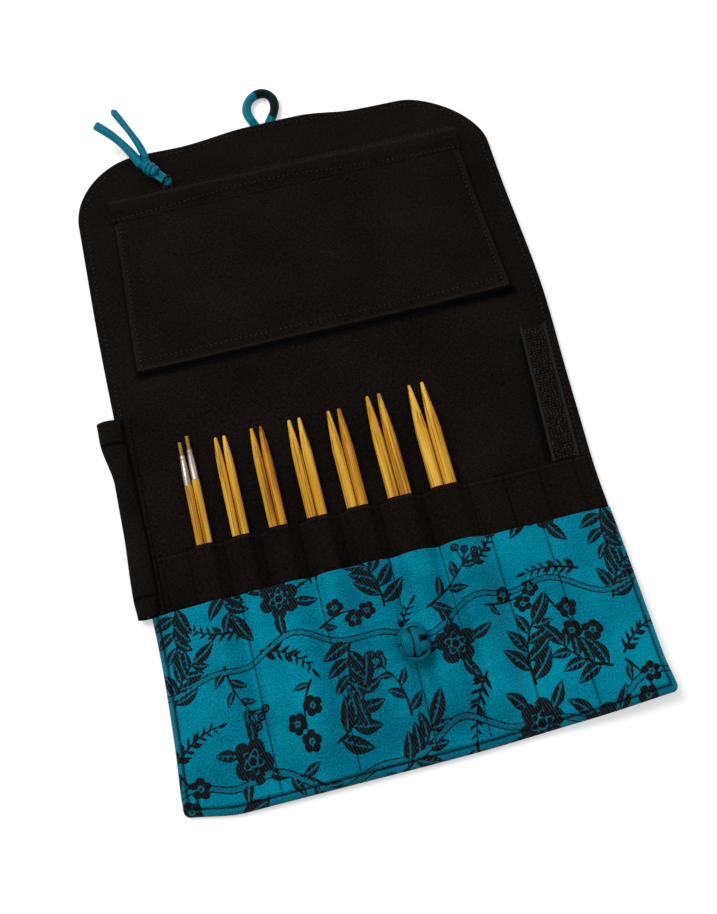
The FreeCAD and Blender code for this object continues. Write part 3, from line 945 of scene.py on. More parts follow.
@dataclass
class FigureDesign:
    """A made-up all-over design of leafy sprigs and round blossoms, in millimetres of flat cloth."""
    cell_x: float = 23.0
    cell_y: float = 23.0
    repeat: tuple[int, int] = (8, 4)
    stem: float = 1.0
    order: tuple[Motif, ...] = (
        Motif.LEAVES, Motif.FERN, Motif.BLOSSOM, Motif.CLUSTER, Motif.LEAVES, Motif.BUDS, Motif.FERN)
    far: float = 9.0

    def draw(self, x: Grid, y: Grid) -> dict[str, Grid]:
        """Signed distance to the woven figure and to the gaps inside it, and where it is hatched.

        Args:
            x: places across the cloth.
            y: places along the cloth.
        Returns:
            The two distances, negative inside, in millimetres, and the share of hatching, by name.
        """
        self.places = stacked(x.ravel(), y.ravel())
        self.figure = np.full(len(self.places), self.far)
        self.vein = np.full(len(self.places), self.far)
        self.hatch = np.zeros(len(self.places))
        columns, rows = [range(math.floor(value.min() / cell) - 1, math.ceil(value.max() / cell) + 2)
                         for value, cell in ((x, self.cell_x), (y, self.cell_y))]
        for row in rows:
            if row % 2:
                self.add_branch(row, x.min() - 20.0, x.max() + 20.0)
            for column in columns:
                self.add_motif(column, row)
        return {"figure": self.figure.reshape(x.shape), "vein": self.vein.reshape(x.shape),
                "hatch": self.hatch.reshape(x.shape)}

    def add_branch(self, row: int, start: float, end: float) -> None:
        """Knotty branch between two rows of motifs, drawn as two lines.

        Args:
            row: row of motifs below it.
            start: where it begins.
            end: where it ends.
        """
        x = np.arange(start, end, 4.0)
        phase = 2 * math.pi * x / (self.cell_x * self.repeat[0]) + row
        y = (row + 0.5) * self.cell_y + 5.0 * np.sin(2 * phase) + 2.4 * np.sin(5 * phase + 1.0)
        self.add_stem(stacked(x, y), 2.6, 0.42)

    def add_motif(self, column: int, row: int) -> None:
        """One motif, turned and sized by the place of its cell.

        Args:
            column: its cell's column.
            row: its cell's row.
        """
        across, along = column % self.repeat[0], row % self.repeat[1]
        dice = np.random.RandomState(97 + across * 31 + along * 7)
        drop = self.cell_y / 2 if column % 2 else 0.0
        middle = np.array([(column + 0.5) * self.cell_x, row * self.cell_y + drop])
        centre = middle + dice.uniform(-2.5, 2.5, 2)
        way = dice.uniform(0.0, 2 * math.pi)
        bend = math.radians(dice.choice([-1.0, 1.0]) * dice.uniform(25.0, 60.0))
        size = dice.uniform(0.9, 1.12)
        motif = self.order[(across + 3 * along) % len(self.order)]
        start = centre - 11.0 * size * heading(way)
        if motif is Motif.BLOSSOM:
            self.add_blossom(centre, 8.8 * size, 5 + across % 2, way)
            for turn in (0.3, 1.7, 3.2, 4.6):
                base = centre + 6.4 * size * heading(way + turn)
                self.add_leaf(base, way + turn + 0.3, 10.5 * size, 4.6 * size)
            return
        points, ways = self.stem_line(start, way, 22.0 * size, bend)
        self.add_stem(points, self.stem)
        leaves, leaf, slim = {
            Motif.FERN: (15, 5.4, 0.25), Motif.LEAVES: (7, 13.0, 0.44),
            Motif.BUDS: (5, 9.0, 0.42), Motif.CLUSTER: (4, 7.0, 0.4)}[motif]
        for number in range(leaves):
            index = int(1 + (len(ways) - 2) * number / (leaves - 1))
            side = 1.0 if number % 2 else -1.0
            length = leaf * size * (1.0 - 0.4 * number / leaves)
            self.add_leaf(points[index], ways[index] + side * 0.85, length, length * slim)
        if motif is Motif.BUDS:
            self.add_buds(points[-1], ways[-1], 6.5 * size)
        elif motif is Motif.CLUSTER:
            for index, step in ((6, 3.2), (10, -3.4), (14, 0.0)):
                off = np.array([-math.sin(ways[index - 1]), math.cos(ways[index - 1])]) * step
                self.add_blossom(points[index] + off, 3.9 * size, 5, way + index)
        else:
            self.add_leaf(points[-1], ways[-1], leaf * size, leaf * slim * size)

    @staticmethod
    def stem_line(start: Grid, way: float, length: float, bend: float) -> tuple[Grid, list[float]]:
        """Points and headings of a stem that bends more and more.

        Args:
            start: foot of the stem.
            way: heading at its foot.
            length: how long it is.
            bend: how far it turns.
        Returns:
            Its points, and the heading at each step.
        """
        steps = 14
        ways = [way + bend * (step / steps) ** 1.2 for step in range(steps)]
        moves = length / steps * np.array([heading(angle) for angle in ways])
        return np.concatenate([[start], start + np.cumsum(moves, axis=0)]), ways

    def near(self, centre: Grid, reach: float) -> Grid:
        """Indices of the places within a distance."""
        gap = self.places - centre
        return np.flatnonzero(np.einsum("ij,ij->i", gap, gap) < reach * reach)

    def add(self, picked: Grid, figure: Grid, vein: Grid, hatch: Grid | float = 0.0) -> None:
        """Lays a shape over what is there, with its own gaps and hatching where it covers.

        Args:
            picked: indices of the places near it.
            figure: distance to its outline.
            vein: distance to its gaps.
            hatch: share of hatching on it.
        """
        on_top = figure < np.minimum(self.figure[picked], 0.35)
        self.hatch[picked] = np.where(on_top & (figure < 0.4), hatch, self.hatch[picked])
        self.vein[picked] = np.where(on_top & (figure < 0.0), vein, self.vein[picked])
        self.figure[picked] = np.minimum(self.figure[picked], figure)

    def add_leaf(self, base: Grid, way: float, length: float, width: float) -> None:
        """Pointed leaf with a midrib and side veins.

        Args:
            base: its foot.
            way: its heading.
            length: how long it is.
            width: how wide it is.
        """
        ahead = heading(way)
        picked = self.near(base + ahead * length / 2, length * 0.62 + 1.0)
        if not len(picked):
            return
        gap = self.places[picked] - base
        along = gap @ ahead
        across = gap @ np.array([-ahead[1], ahead[0]]) + 0.05 * length * np.sin(along / length * math.pi)
        share = np.clip(along / length, 0.0, 1.0)
        half = width / 2 * np.sin(math.pi * share ** 0.82) ** 0.9
        figure = np.maximum(np.abs(across) - half, np.maximum(-along, along - length))
        rib = np.abs(across) - 0.28
        slant = np.mod(along - 0.9 * np.abs(across), 2.3)
        side_veins = np.where(across > 0.0, np.abs(slant - 1.15) - 0.16, self.far)
        plain = width < 2.4
        vein = np.minimum(rib, side_veins) + self.far * plain
        self.add(picked, figure, vein, smooth_step(0.0, 0.7, -across) * (not plain))

    def add_stem(self, points: Grid, width: float, hollow: float = 0.0) -> None:
        """Stem that thins out along a list of points, or a branch of even width with an open middle.

        Args:
            points: points along it.
            width: its width at the start.
            hollow: width of a branch's two edge lines, or 0 for a stem.
        """
        for index, (start, end) in enumerate(zip(points, points[1:])):
            picked = self.near((start + end) / 2, np.linalg.norm(end - start) / 2 + 3.0)
            run = end - start
            gap = self.places[picked] - start
            share = np.clip(gap @ run / (run @ run), 0.0, 1.0)
            thin = width / 2 * (1.0 if hollow else 1.0 - 0.5 * index / len(points))
            distance = np.linalg.norm(gap - share[:, None] * run, axis=1) - thin
            self.add(picked, distance, distance + hollow if hollow else np.full(len(picked), self.far))

    def add_blossom(self, centre: Grid, radius: float, petals: int, turn: float) -> None:
        """Open blossom with rounded petals, gaps between them and a ring of stamens.

        Args:
            centre: its middle.
            radius: its radius.
            petals: number of petals.
            turn: how far it is turned.
        """
        picked = self.near(centre, radius * 1.2 + 1.0)
        gap = self.places[picked] - centre
        far = np.linalg.norm(gap, axis=1)
        angle = np.arctan2(gap[:, 1], gap[:, 0]) * petals + turn
        lobe = np.abs(np.cos(angle / 2))
        reach = radius * (0.66 + 0.34 * lobe ** 0.6)
        seam = lobe * far * 0.9 - 0.25
        inner = np.abs(far - radius * 0.52 * (0.8 + 0.2 * np.cos(angle))) - 0.28
        ring = np.abs(far - radius * 0.22) - 0.30
        spokes = np.abs(np.mod(angle * 1.5, 2.0) - 1.0) * far * 0.35 - 0.2
        spokes = np.where(far > radius * 0.62, spokes, self.far)
        small = radius < 5.0
        vein = np.minimum(np.minimum(np.where(far > radius * 0.3, seam, self.far), inner + self.far * small),
                          np.minimum(ring, spokes + self.far * small))
        self.add(picked, far - reach, vein, smooth_step(radius * 0.55, radius * 0.75, far) * (not small))

    def add_buds(self, centre: Grid, way: float, size: float) -> None:
        """Spray of round buds on short stalks.

        Args:
            centre: where the stalks meet.
            way: heading of the spray.
            size: length of the stalks.
        """
        for step, swing in enumerate((-0.9, -0.3, 0.35, 0.95)):
            angle = way + swing
            place = centre + size * (0.75 + 0.22 * (step % 2)) * heading(angle)
            self.add_stem(np.array([centre, place]), 0.7)
            picked = self.near(place, 4.0)
            far = np.linalg.norm(self.places[picked] - place, axis=1)
            self.add(picked, far - 1.75, np.abs(far - 0.8) - 0.16)


class NodeTree(Graph):
    """Builds one Geometry Nodes tree with named inputs."""

    def __init__(self, name: str) -> None:
        """Starts an empty tree with geometry in and out.

        Args:
            name: the tree's name.
        """
        super().__init__(bpy.data.node_groups.new(name, "GeometryNodeTree"))
        for way in ("INPUT", "OUTPUT"):
            self.tree.interface.new_socket("Geometry", in_out=way, socket_type="NodeSocketGeometry")
        self.start = self.node("NodeGroupInput")
        self.end = self.node("NodeGroupOutput")
        self.names: dict[str, str] = {}

    def size(self, name: str, kind: str = "NodeSocketFloat") -> Socket:
        """Adds a named input.

        Args:
            name: the input's name.
            kind: its type of socket.
        Returns:
            The socket that gives its value.
        """
        made = self.tree.interface.new_socket(name, in_out="INPUT", socket_type=kind)
        self.names[name] = made.identifier
        return self.start.outputs[name]

    def spaced(self, pitch: Socket) -> bpy.types.Node:
        """Even steps along the edge chains that go in.

        Args:
            pitch: length of a step.
        Returns:
            The node that gives the points.
        """
        curve = self.node("GeometryNodeMeshToCurve", {"Mesh": self.start.outputs["Geometry"]})
        inputs = {"Curve": curve.outputs[0], "Length": pitch}
        return self.node("GeometryNodeResampleCurve", inputs, mode="LENGTH")

    def close(self, geometry: Socket) -> None:
        """Realizes the instances, sets the material and ends the tree.

        Args:
            geometry: what the tree has made.
        """
        real = self.node("GeometryNodeRealizeInstances", {"Geometry": geometry})
        material = self.size("Material", "NodeSocketMaterial")
        finish = self.node("GeometryNodeSetMaterial", {"Geometry": real.outputs[0], "Material": material})
        smooth = self.node("GeometryNodeSetShadeSmooth", {"Geometry": finish.outputs[0]})
        self.feed(smooth.outputs[0], self.end.inputs[0])

    def grow(self, name: str, seed_mesh: bpy.types.Mesh, sizes: dict) -> Object:
        """Runs the tree on a mesh and keeps the result as a plain mesh.

        Args:
            name: the new piece's name.
            seed_mesh: the mesh that the tree works on.
            sizes: value of each named input.
        Returns:
            The new object.
        """
        seed = add_object(name + "_seed", seed_mesh)
        modifier = seed.modifiers.new("grow", "NODES")
        modifier.node_group = self.tree
        for key, value in sizes.items():
            modifier[self.names[key]] = value
        evaluated = seed.evaluated_get(bpy.context.evaluated_depsgraph_get())
        mesh = bpy.data.meshes.new_from_object(evaluated)
        mesh.name = name
        bpy.data.objects.remove(seed)
        return add_object(name, mesh)


def line_mesh(name: str, rows: list[Grid]) -> bpy.types.Mesh:
    """Mesh of open edge chains.

    Args:
        name: the mesh's name.
        rows: points of each chain in millimetres.
    Returns:
        The mesh.
    """
    points, edges = [], []
    for row in rows:
        start = len(points)
        points.extend((np.asarray(row) * MM).tolist())
        edges.extend((start + i, start + i + 1) for i in range(len(row) - 1))
    mesh = bpy.data.meshes.new(name)
    mesh.from_pydata(points, edges, [])
    return mesh


@dataclass
class Sewing:
    """Rows of stitches laid along lines on the cloth."""
    finishes: Finishes
    pitch: float = 2.3
    stitch: float = 1.5
    radius: float = 0.2
    tree: NodeTree = field(init=False)

    def __post_init__(self) -> None:
        """Builds the tree that lays stitches along edge chains."""
        tree = NodeTree("row_of_stitches")
        pitch, length, radius = tree.size("Pitch"), tree.size("Length"), tree.size("Radius")
        spaced = tree.spaced(pitch)
        tangent = tree.node("GeometryNodeInputTangent")
        turn = tree.node("FunctionNodeAlignRotationToVector", {"Vector": tangent.outputs[0]}, axis="X")
        size = tree.node("ShaderNodeCombineXYZ", {"X": length, "Y": radius, "Z": radius})
        bead = tree.node("GeometryNodeMeshUVSphere", {"Segments": 6, "Rings": 5, "Radius": 1.0})
        laid = tree.node("GeometryNodeInstanceOnPoints", {
            "Points": spaced.outputs[0], "Instance": bead.outputs[0], "Rotation": turn.outputs[0],
            "Scale": size.outputs[0]})
        # dark spots sunk between the stitches: painted shade in the needle holes
        ahead = tree.node("ShaderNodeVectorMath", {0: tangent.outputs[0], "Scale": pitch}, operation="SCALE")
        half = tree.node("ShaderNodeVectorMath", {0: ahead.outputs[0], "Scale": 0.5}, operation="SCALE")
        between = tree.node("GeometryNodeSetPosition", {
            "Geometry": spaced.outputs[0], "Offset": half.outputs[0]})
        wide = tree.node("ShaderNodeMath", {0: radius, 1: 1.5}, operation="MULTIPLY")
        spot = tree.node("ShaderNodeCombineXYZ", {"X": wide.outputs[0], "Y": wide.outputs[0], "Z": radius})
        marked = tree.node("GeometryNodeStoreNamedAttribute", {
            "Geometry": bead.outputs[0], "Name": "hole_shade", "Value": 1.0}, data_type="FLOAT", domain="POINT")
        holes = tree.node("GeometryNodeInstanceOnPoints", {
            "Points": between.outputs[0], "Instance": marked.outputs[0], "Rotation": turn.outputs[0],
            "Scale": spot.outputs[0]})
        sunk = tree.node("GeometryNodeTranslateInstances", {
            "Instances": holes.outputs[0], "Translation": Vector((0.0, 0.0, -0.09 * MM)),
            "Local Space": False})
        both = tree.node("GeometryNodeJoinGeometry")
        for part in (laid, sunk):
            tree.feed(part.outputs[0], both.inputs[0])
        tree.close(both.outputs[0])
        self.tree = tree

    def sew(self, name: str, rows: list[Grid], pitch: float | None = None, dark: bool = False) -> Object:
        """Lays one stitch after another along each row.

        Args:
            name: the piece's name.
            rows: lines in millimetres.
            pitch: distance from stitch to stitch, if not the usual one.
            dark: whether the thread is the dark one that goes with brocade.
        Returns:
            The new piece.
        """
        step = pitch or self.pitch
        sizes = {"Pitch": step * MM, "Length": step * self.stitch / self.pitch / 2 * MM,
                 "Radius": self.radius * MM,
                 "Material": self.finishes.dark_thread if dark else self.finishes.thread}
        return self.tree.grow(name, line_mesh(name, rows), sizes)


@dataclass
class Panels:
    """Cover, interlining and lining of the body, the spine and the flap."""
    shape: CaseShape
    finishes: Finishes
    design: FigureDesign
    sewing: Sewing
    cloth: float = 0.45
    lining_step: float = 1.7
    cover_step: float = 0.95
    bend: float = 5.0
    topstitch: float = 3.4
    cover_shift: float = 61.0

    def build(self) -> None:
        """Builds every panel and the stitches round them."""
        shape = self.shape
        middle = shape.spine_middle
        for name, low, high in (("lower", shape.low, middle), ("upper", middle, shape.high)):
            lower = name == "lower"
            x, y = shape.grid(low, high, self.lining_step)
            # painted shade: a dark line beside the fastening tape and a painted shadow under the pouch's
            # lower edge, in the lining's colour only
            painted_shade = self.shade_beside_tape(x, y) + self.shadow_below_pouch(x, y)
            lining = thick_sheet("lining_" + name, shape.drift(stacked(x, y, shape.top(x, y))), self.cloth,
                                 self.finishes.cotton, fields={"painted_shade": painted_shade})
            nodes = ("lining_body", "lining_spine") if lower else ("lining_flap",)
            self.across_fold(lining, lower, "black_cotton", *nodes)
            x, y = shape.grid(low, high, self.cover_step)
            fields = self.design.draw(-x, y + self.cover_shift)
            cover = thick_sheet("cover_" + name, shape.drift(stacked(x, y, shape.under(x, y))),
                                self.cloth, self.finishes.brocade, up=False, fields=fields)
            nodes = ("outer_cover_body", "outer_cover_spine") if lower else ("outer_cover_flap",)
            self.across_fold(cover, lower, "brocade", *nodes)
            area = float(np.trapz(2 * shape.half_width(y[:, 0]), y[:, 0])) * MM * MM
            stitches = self.sewing.sew("topstitch_" + name, self.edge_rows(low, high, lower))
            self.across_fold(stitches, lower, "black_cotton")
        for body, node in (("case_body", "interlining_body"), ("flap", "interlining_flap")):
            self.interlining(body, node)

    @staticmethod
    def shade_beside_tape(x: Grid, y: Grid) -> Grid:
        """Painted shade: a dark line on the lining along the left edge of the fastening tape.

        Args:
            x: places across the case.
            y: places along the case.
        Returns:
            Strength of the painted shade.
        """
        low, high = box_mm("loop_tape")
        line = low.x - 0.8 + FasteningTape.lean * (y - (low.y + high.y) / 2)
        window = smooth_step(low.y - 2.0, low.y + 6.0, y) * smooth_step(high.y + 1.0, high.y - 4.0, y)
        return 0.9 * bell(x - line, 1.3) * window

    @staticmethod
    def shadow_below_pouch(x: Grid, y: Grid) -> Grid:
        """Painted shadow: a dark line on the lining along the lower edge of the pouch.

        Args:
            x: places across the case.
            y: places along the case.
        Returns:
            Strength of the painted shadow.
        """
        low, high = box_mm("pouch_front")
        window = smooth_step(low.x - 4.0, low.x, x) * smooth_step(high.x + 4.0, high.x, x)
        return 1.1 * bell(y - low.y + 1.6, 1.2) * window

    def across_fold(self, piece: Object, lower: bool, slot: str, *nodes: str) -> None:
        """Passes a piece to bend_across with the fold line that it spans and the bodies on both sides.

        Args:
            piece: the finished piece.
            lower: whether it is in the lower half.
            slot: the record's material slot.
            nodes: CAD nodes that it replaces.
        """
        line = self.shape.body_fold if lower else self.shape.flap_fold
        bodies = ("case_body", "spine") if lower else ("spine", "flap")
        z = self.shape.top_z
        bend_across(piece, bodies, (0, line - self.bend, z), (0, line + self.bend, z), slot, *nodes)

    def edge_rows(self, low: float, high: float, lower: bool) -> list[Grid]:
        """Lines of the topstitching, inside the outline of the lining.

        Args:
            low: lower end of the panel.
            high: upper end of the panel.
            lower: whether it is the lower panel.
        Returns:
            The lines.
        """
        shape = self.shape
        brocade_top = box_mm("brocade_pocket")[1].y
        start = brocade_top + 1.0 if lower else low
        y = np.linspace(start, high - (0.0 if lower else self.topstitch), 240)
        inset = self.topstitch
        rows = []
        for side in (-1.0, 1.0):
            x = side * (shape.half_width(y) - inset)
            if not lower:
                radius = shape.high_radius - inset
                rise = np.clip(y - (shape.high - shape.high_radius), 0.0, radius)
                cut = radius - np.sqrt(np.maximum(radius ** 2 - rise ** 2, 0.0))
                x = side * (shape.half - inset - cut)
            rows.append(stacked(x, y, shape.top(x, y) + 0.05))
        if not lower:
            x = np.linspace(rows[0][-1, 0], rows[1][-1, 0], 160)
            y = np.full_like(x, shape.high - inset)
            rows.append(stacked(x, y, shape.top(x, y) + 0.05))
        return [shape.drift(row) for row in rows]

    def interlining(self, body: str, node: str) -> None:
        """Felt between the cover and the lining.

        Args:
            body: CAD body that it moves with.
            node: CAD node that it replaces.
        """
        low, high = box_mm(node)
        x, y = flat_grid(low, high, 60, 60)
        half = self.shape.half_width(y) - (self.shape.right - high.x)
        x = x * half / high.x
        z = high.z - 0.1 + self.shape.lift(x, y)
        felt = thick_sheet(node + "_felt", self.shape.drift(stacked(x, y, z)), high.z - low.z - 0.2,
                           self.finishes.felt)
        settle(felt, body, "interlining", node)


@dataclass
class Channels:
    """Where the pockets are sewn through, and how their cloth stands over the needles, in millimetres."""
    shape: CaseShape
    slack: float = 9.0
    gap: float = 0.16
    pair_gap: float = 0.3
    rest: float = 0.2
    cloth: float = 0.5
    rise_at_mouth: float = 0.735
    sag: float = 0.3
    first_line: float = -79.75
    diameters: tuple[float, ...] = (3.25, 3.5, 3.75, 4.25, 4.5, 5.0, 5.5)
    right_lines: tuple[float, ...] = (59.0, 75.0, 91.0)
    brocade_lines: tuple[float, ...] = (-61.8, -29.8, 1.8, 23.7, 46.0, 68.8)

    def lines(self) -> list[float]:
        """Places of the seams between the needle channels.

        Returns:
            The places, from left to right.
        """
        found = [self.first_line]
        for diameter in self.diameters:
            found.append(found[-1] + 2 * diameter + self.slack)
        return found

    def needle_tops(self, x: Grid) -> Grid:
        """Height that the needles and the cloth over them reach at the pocket's mouth.

        Args:
            x: places across the case.
        Returns:
            The heights.
        """
        height = np.full_like(x, self.shape.top_z + self.cloth)
        for start, end, diameter in zip(self.lines(), self.lines()[1:], self.diameters):
            radius = diameter / 2
            centre = self.shape.top_z + self.rest + radius + self.rise_at_mouth
            for side in (-1.0, 1.0):
                gap = x - (start + end) / 2 - side * (radius + self.pair_gap / 2)
                over = (radius + self.gap + self.cloth) ** 2 - gap ** 2
                arch = centre + np.sqrt(np.maximum(over, 0.0))
                height = np.maximum(height, np.where(over > 0.0, arch, 0.0))
        return height

    def drawn_over(self, tops: Grid, fine: Grid, pins: list[float], base: float) -> Grid:
        """Cloth that is held down at pins and drawn over what lies below.

        Args:
            tops: height to clear at each place.
            fine: places across the case.
            pins: seams.
            base: height of the cloth at its seams.
        Returns:
            Height at each place.
        """
        height = np.full_like(fine, base)
        for start, end in zip(pins, pins[1:]):
            inside = (fine >= start - 1e-6) & (fine <= end + 1e-6)
            places, under = fine[inside], tops[inside].copy()
            under[0] = under[-1] = base
            hull = self.upper_hull(places, under)
            taut = np.interp(places, places[hull], under[hull])
            height[inside] = np.maximum((1.0 - self.sag) * taut + self.sag * under, under)
        return self.smoothed(height, 13)

    @staticmethod
    def smoothed(height: Grid, width: int) -> Grid:
        """Evens out a height over a number of neighbouring places."""
        kernel = np.hanning(width)
        return np.convolve(np.pad(height, width // 2, mode="edge"), kernel / kernel.sum(), mode="valid")

    def puffs(self, x: Grid, pins: list[float], height: float) -> Grid:
        """Empty cells that stand up a little between their seams.

        Args:
            x: places across the case.
            pins: seams.
            height: how high a cell stands.
        Returns:
            The heights.
        """
        total = np.zeros_like(x)
        for start, end in zip(pins, pins[1:]):
            total += height * np.sin(math.pi * np.clip((x - start) / (end - start), 0.0, 1.0)) ** 1.3
        return total

    def profiles(self) -> tuple[Grid, Grid, Grid]:
        """Places across the case, and the black and the brocade pocket's height over them.

        Returns:
            The places and the two heights.
        """
        fine = np.linspace(self.shape.left, self.shape.right, 1601)
        base = self.shape.top_z + self.cloth
        black = self.drawn_over(self.needle_tops(fine), fine, [fine[0], *self.lines(), fine[-1]], base)
        black += self.puffs(fine, [self.lines()[-1], *self.right_lines], 0.35)
        pins = [fine[0], *self.brocade_lines, fine[-1]]
        brocade = self.drawn_over(black + 1.05, fine, pins, base + 0.55)
        brocade += self.puffs(fine, [*self.brocade_lines[-2:], fine[-1] - 3.0], 0.9)
        brocade = self.smoothed(np.maximum(brocade, black + 0.55), 85)
        return fine, black, np.maximum(brocade, black + 0.5)

    def black_top(self, x: Grid) -> Grid:
        """Height of the black pocket's upper face at its mouth."""
        fine, black, _ = self.profiles()
        return np.interp(x, fine, black)

    def brocade_top(self, x: Grid) -> Grid:
        """Height of the brocade pocket's upper face at the black pocket's mouth."""
        fine, _, brocade = self.profiles()
        return np.interp(x, fine, brocade)

    @staticmethod
    def upper_hull(places: Grid, tops: Grid) -> list[int]:
        """Indices of the points that a taut cloth would touch.

        Args:
            places: places across the case.
            tops: height to clear at each place.
        Returns:
            The indices.
        """
        hull: list[int] = []
        for index in range(len(places)):
            while len(hull) > 1:
                a, b = hull[-2], hull[-1]
                run, next_run = places[b] - places[a], places[index] - places[a]
                rise, next_rise = tops[b] - tops[a], tops[index] - tops[a]
                if run * next_rise < rise * next_run:
                    break
                hull.pop()
            hull.append(index)
        return hull


@dataclass
class Pockets:
    """Black needle pocket, brocade front pocket and their seams."""
    shape: CaseShape
    finishes: Finishes
    design: FigureDesign
    sewing: Sewing
    channels: Channels
    hem: float = 2.7
    overhang: float = 0.3
    brocade_cloth: float = 0.55
    design_shift: tuple[float, float] = (129.0, 108.0)

    def build(self) -> None:
        """Builds both pockets and sews them down."""
        self.black_pocket()
        self.brocade_pocket()

    def stand(self, y: Grid) -> Grid:
        """Share of the height at the mouth, since the needles lie lower at their feet."""
        mouth = box_mm("needle_pocket")[1].y
        return 1.0 - 0.11 * np.clip((mouth - y) / 85.0, 0.0, 1.0)

    def black_height(self, x: Grid, y: Grid) -> Grid:
        """Upper face of the black pocket."""
        base = self.shape.top_z + self.channels.cloth
        return base + (self.channels.black_top(x) - base) * self.stand(y) + self.shape.lift(x, y)

    def brocade_height(self, x: Grid, y: Grid) -> Grid:
        """Upper face of the brocade pocket before its outer edges turn down.

        Args:
            x: places across the case.
            y: places along the case.
        Returns:
            The heights.
        """
        shape = self.shape
        flat = shape.top_z + 0.95
        puff = (self.channels.brocade_top(x) - flat) * self.stand(y) * smooth_step(-119.0, -106.0, y)
        wrinkle = 0.05 * puff * (np.sin(y * 0.33 + x * 0.09) + 0.6 * np.sin(y * 0.81 - x * 0.21))
        fold = np.sin(y * 0.19 - x * 0.035 + 1.1 * np.sin(x * 0.047)) * np.sin(x * 0.061 + y * 0.03 + 1.0)
        inner = smooth_step(-121.0, -106.0, y) * smooth_step(0.0, 12.0, shape.right - np.abs(x))
        fold = 0.42 * (1.0 + fold) * inner
        return flat + puff + np.maximum(wrinkle, 0.0) + fold + shape.lift(x, y)

    def black_pocket(self) -> None:
        """Black pocket with a channel for each pair."""
        low, high = box_mm("needle_pocket")
        along = np.concatenate([np.linspace(low.y, high.y - 3.2, 42),
                                high.y - np.array([2.4, 1.8, 1.3, 0.9, 0.6, 0.35, 0.15, 0.05, 0.0])])
        x, y = np.meshgrid(np.linspace(low.x, high.x, 380), along)
        brim = high.y - y
        z = self.black_height(x, y) - 0.4 * (1.0 - round_over(brim, 0.8))
        seam_lines = (*self.channels.lines(), *self.channels.right_lines)
        seam = np.min([np.abs(x - line) for line in seam_lines], axis=0)
        # painted shadow along the mouth's edge with a painted highlight just inside it, and painted shade
        # along the seams
        painted_shade = smooth_step(0.6, 0.0, brim) - 0.15 * bell(brim - 1.2, 0.7)
        painted_shade = painted_shade + 0.12 * bell(seam, 0.7)
        pocket = thick_sheet("black_pocket", self.shape.drift(stacked(x, y, z)), self.channels.cloth,
                             self.finishes.cotton, fields={"painted_shade": painted_shade})
        settle(pocket, "case_body", "black_cotton", "needle_pocket")
        along = np.linspace(box_mm("brocade_pocket")[1].y - 2.0, high.y - 0.6, 40)
        routes = [(line, along) for line in (low.x + 1.5, *seam_lines, high.x - 1.5)]
        routes.append((np.linspace(low.x + 0.5, high.x - 0.5, 700), high.y - 2.4))
        rows = []
        for route in routes:
            across, along = np.broadcast_arrays(*route)
            rows.append(self.shape.drift(stacked(across, along, self.black_height(across, along) + 0.03)))
        settle(self.sewing.sew("black_pocket_seams", rows, 2.0, True), "case_body", "black_cotton")

    def turned_down(self, x: Grid, y: Grid) -> Grid:
        """The brocade pocket with its three outer edges turned down to the cover.

        Args:
            x: places across the case.
            y: places along the case.
        Returns:
            The points.
        """
        shape = self.shape
        half, radius = shape.half, shape.low_radius
        edge = np.minimum(half - np.abs(x), y - shape.low)
        corner = (half - np.abs(x) < radius) & (y - shape.low < radius)
        gap = np.hypot(radius - half + np.abs(x), radius - y + shape.low)
        edge = np.maximum(np.where(corner, radius - gap, edge), 0.0)
        down = shape.mid_z + shape.lift(x, y) - 0.2
        z = down + (self.brocade_height(x, y) - down) * round_over(edge, 1.9)
        z = z - 0.6 * bell(edge - self.hem, 0.5)
        out_x = x * (1.0 + self.overhang / half)
        out_y = y - self.overhang * smooth_step(3.0, 0.0, y - shape.low)
        return shape.drift(stacked(out_x, out_y, z))

    def brocade_pocket(self) -> None:
        """Brocade pocket that the cover folds up into."""
        shape = self.shape
        low, high = box_mm("brocade_pocket")
        half = shape.half
        near = np.array([0.0, 0.1, 0.3, 0.65, 1.1, 1.6, 2.1, 2.4, 2.7, 3.0, 3.4])
        inner = np.linspace(-half + 3.9, half - 3.9, 312)
        columns = np.concatenate([-half + near, inner, half - near[::-1]])
        arc = low.y + shape.low_radius * (1.0 - np.cos(np.linspace(0.0, math.pi / 2, 16)))
        rows = np.concatenate([arc, low.y + np.array([2.55, 2.7, 2.9, 3.2]),
                               np.linspace(low.y + 3.7, high.y - 0.7, 116), [high.y - 0.3, high.y]])
        x = columns[None, :] / half * shape.half_width(rows)[:, None]
        y = np.broadcast_to(rows[:, None], x.shape).copy()
        points = self.turned_down(x, y)
        points[-1, :, 2] -= 0.35
        fields = self.design.draw(x + self.design_shift[0], y + self.design_shift[1])
        seam = np.min([np.abs(x - line) for line in self.channels.brocade_lines], axis=0)
        rim = np.minimum(shape.right - np.abs(x), y - low.y)
        # painted shade: darker along the seams, in the hem's groove, at the turned outer edges and over the
        # strip outside the hem
        groove = 1.2 * bell(rim - self.hem, 0.75)
        border_shade = 0.3 * smooth_step(self.hem + 0.3, self.hem, rim)
        painted_shades = [0.5 * smooth_step(0.9, 0.2, seam), groove, smooth_step(1.3, 0.3, rim), border_shade]
        fields["painted_shade"] = np.max(painted_shades, axis=0)
        pocket = thick_sheet("brocade_front", points, self.brocade_cloth, self.finishes.brocade,
                             uv=stacked(x, y), fields=fields)
        settle(pocket, "case_body", "brocade", "brocade_pocket")
        seams = self.sewing.sew("brocade_seams", self.brocade_rows(), 1.9, True)
        settle(seams, "case_body", "black_cotton")

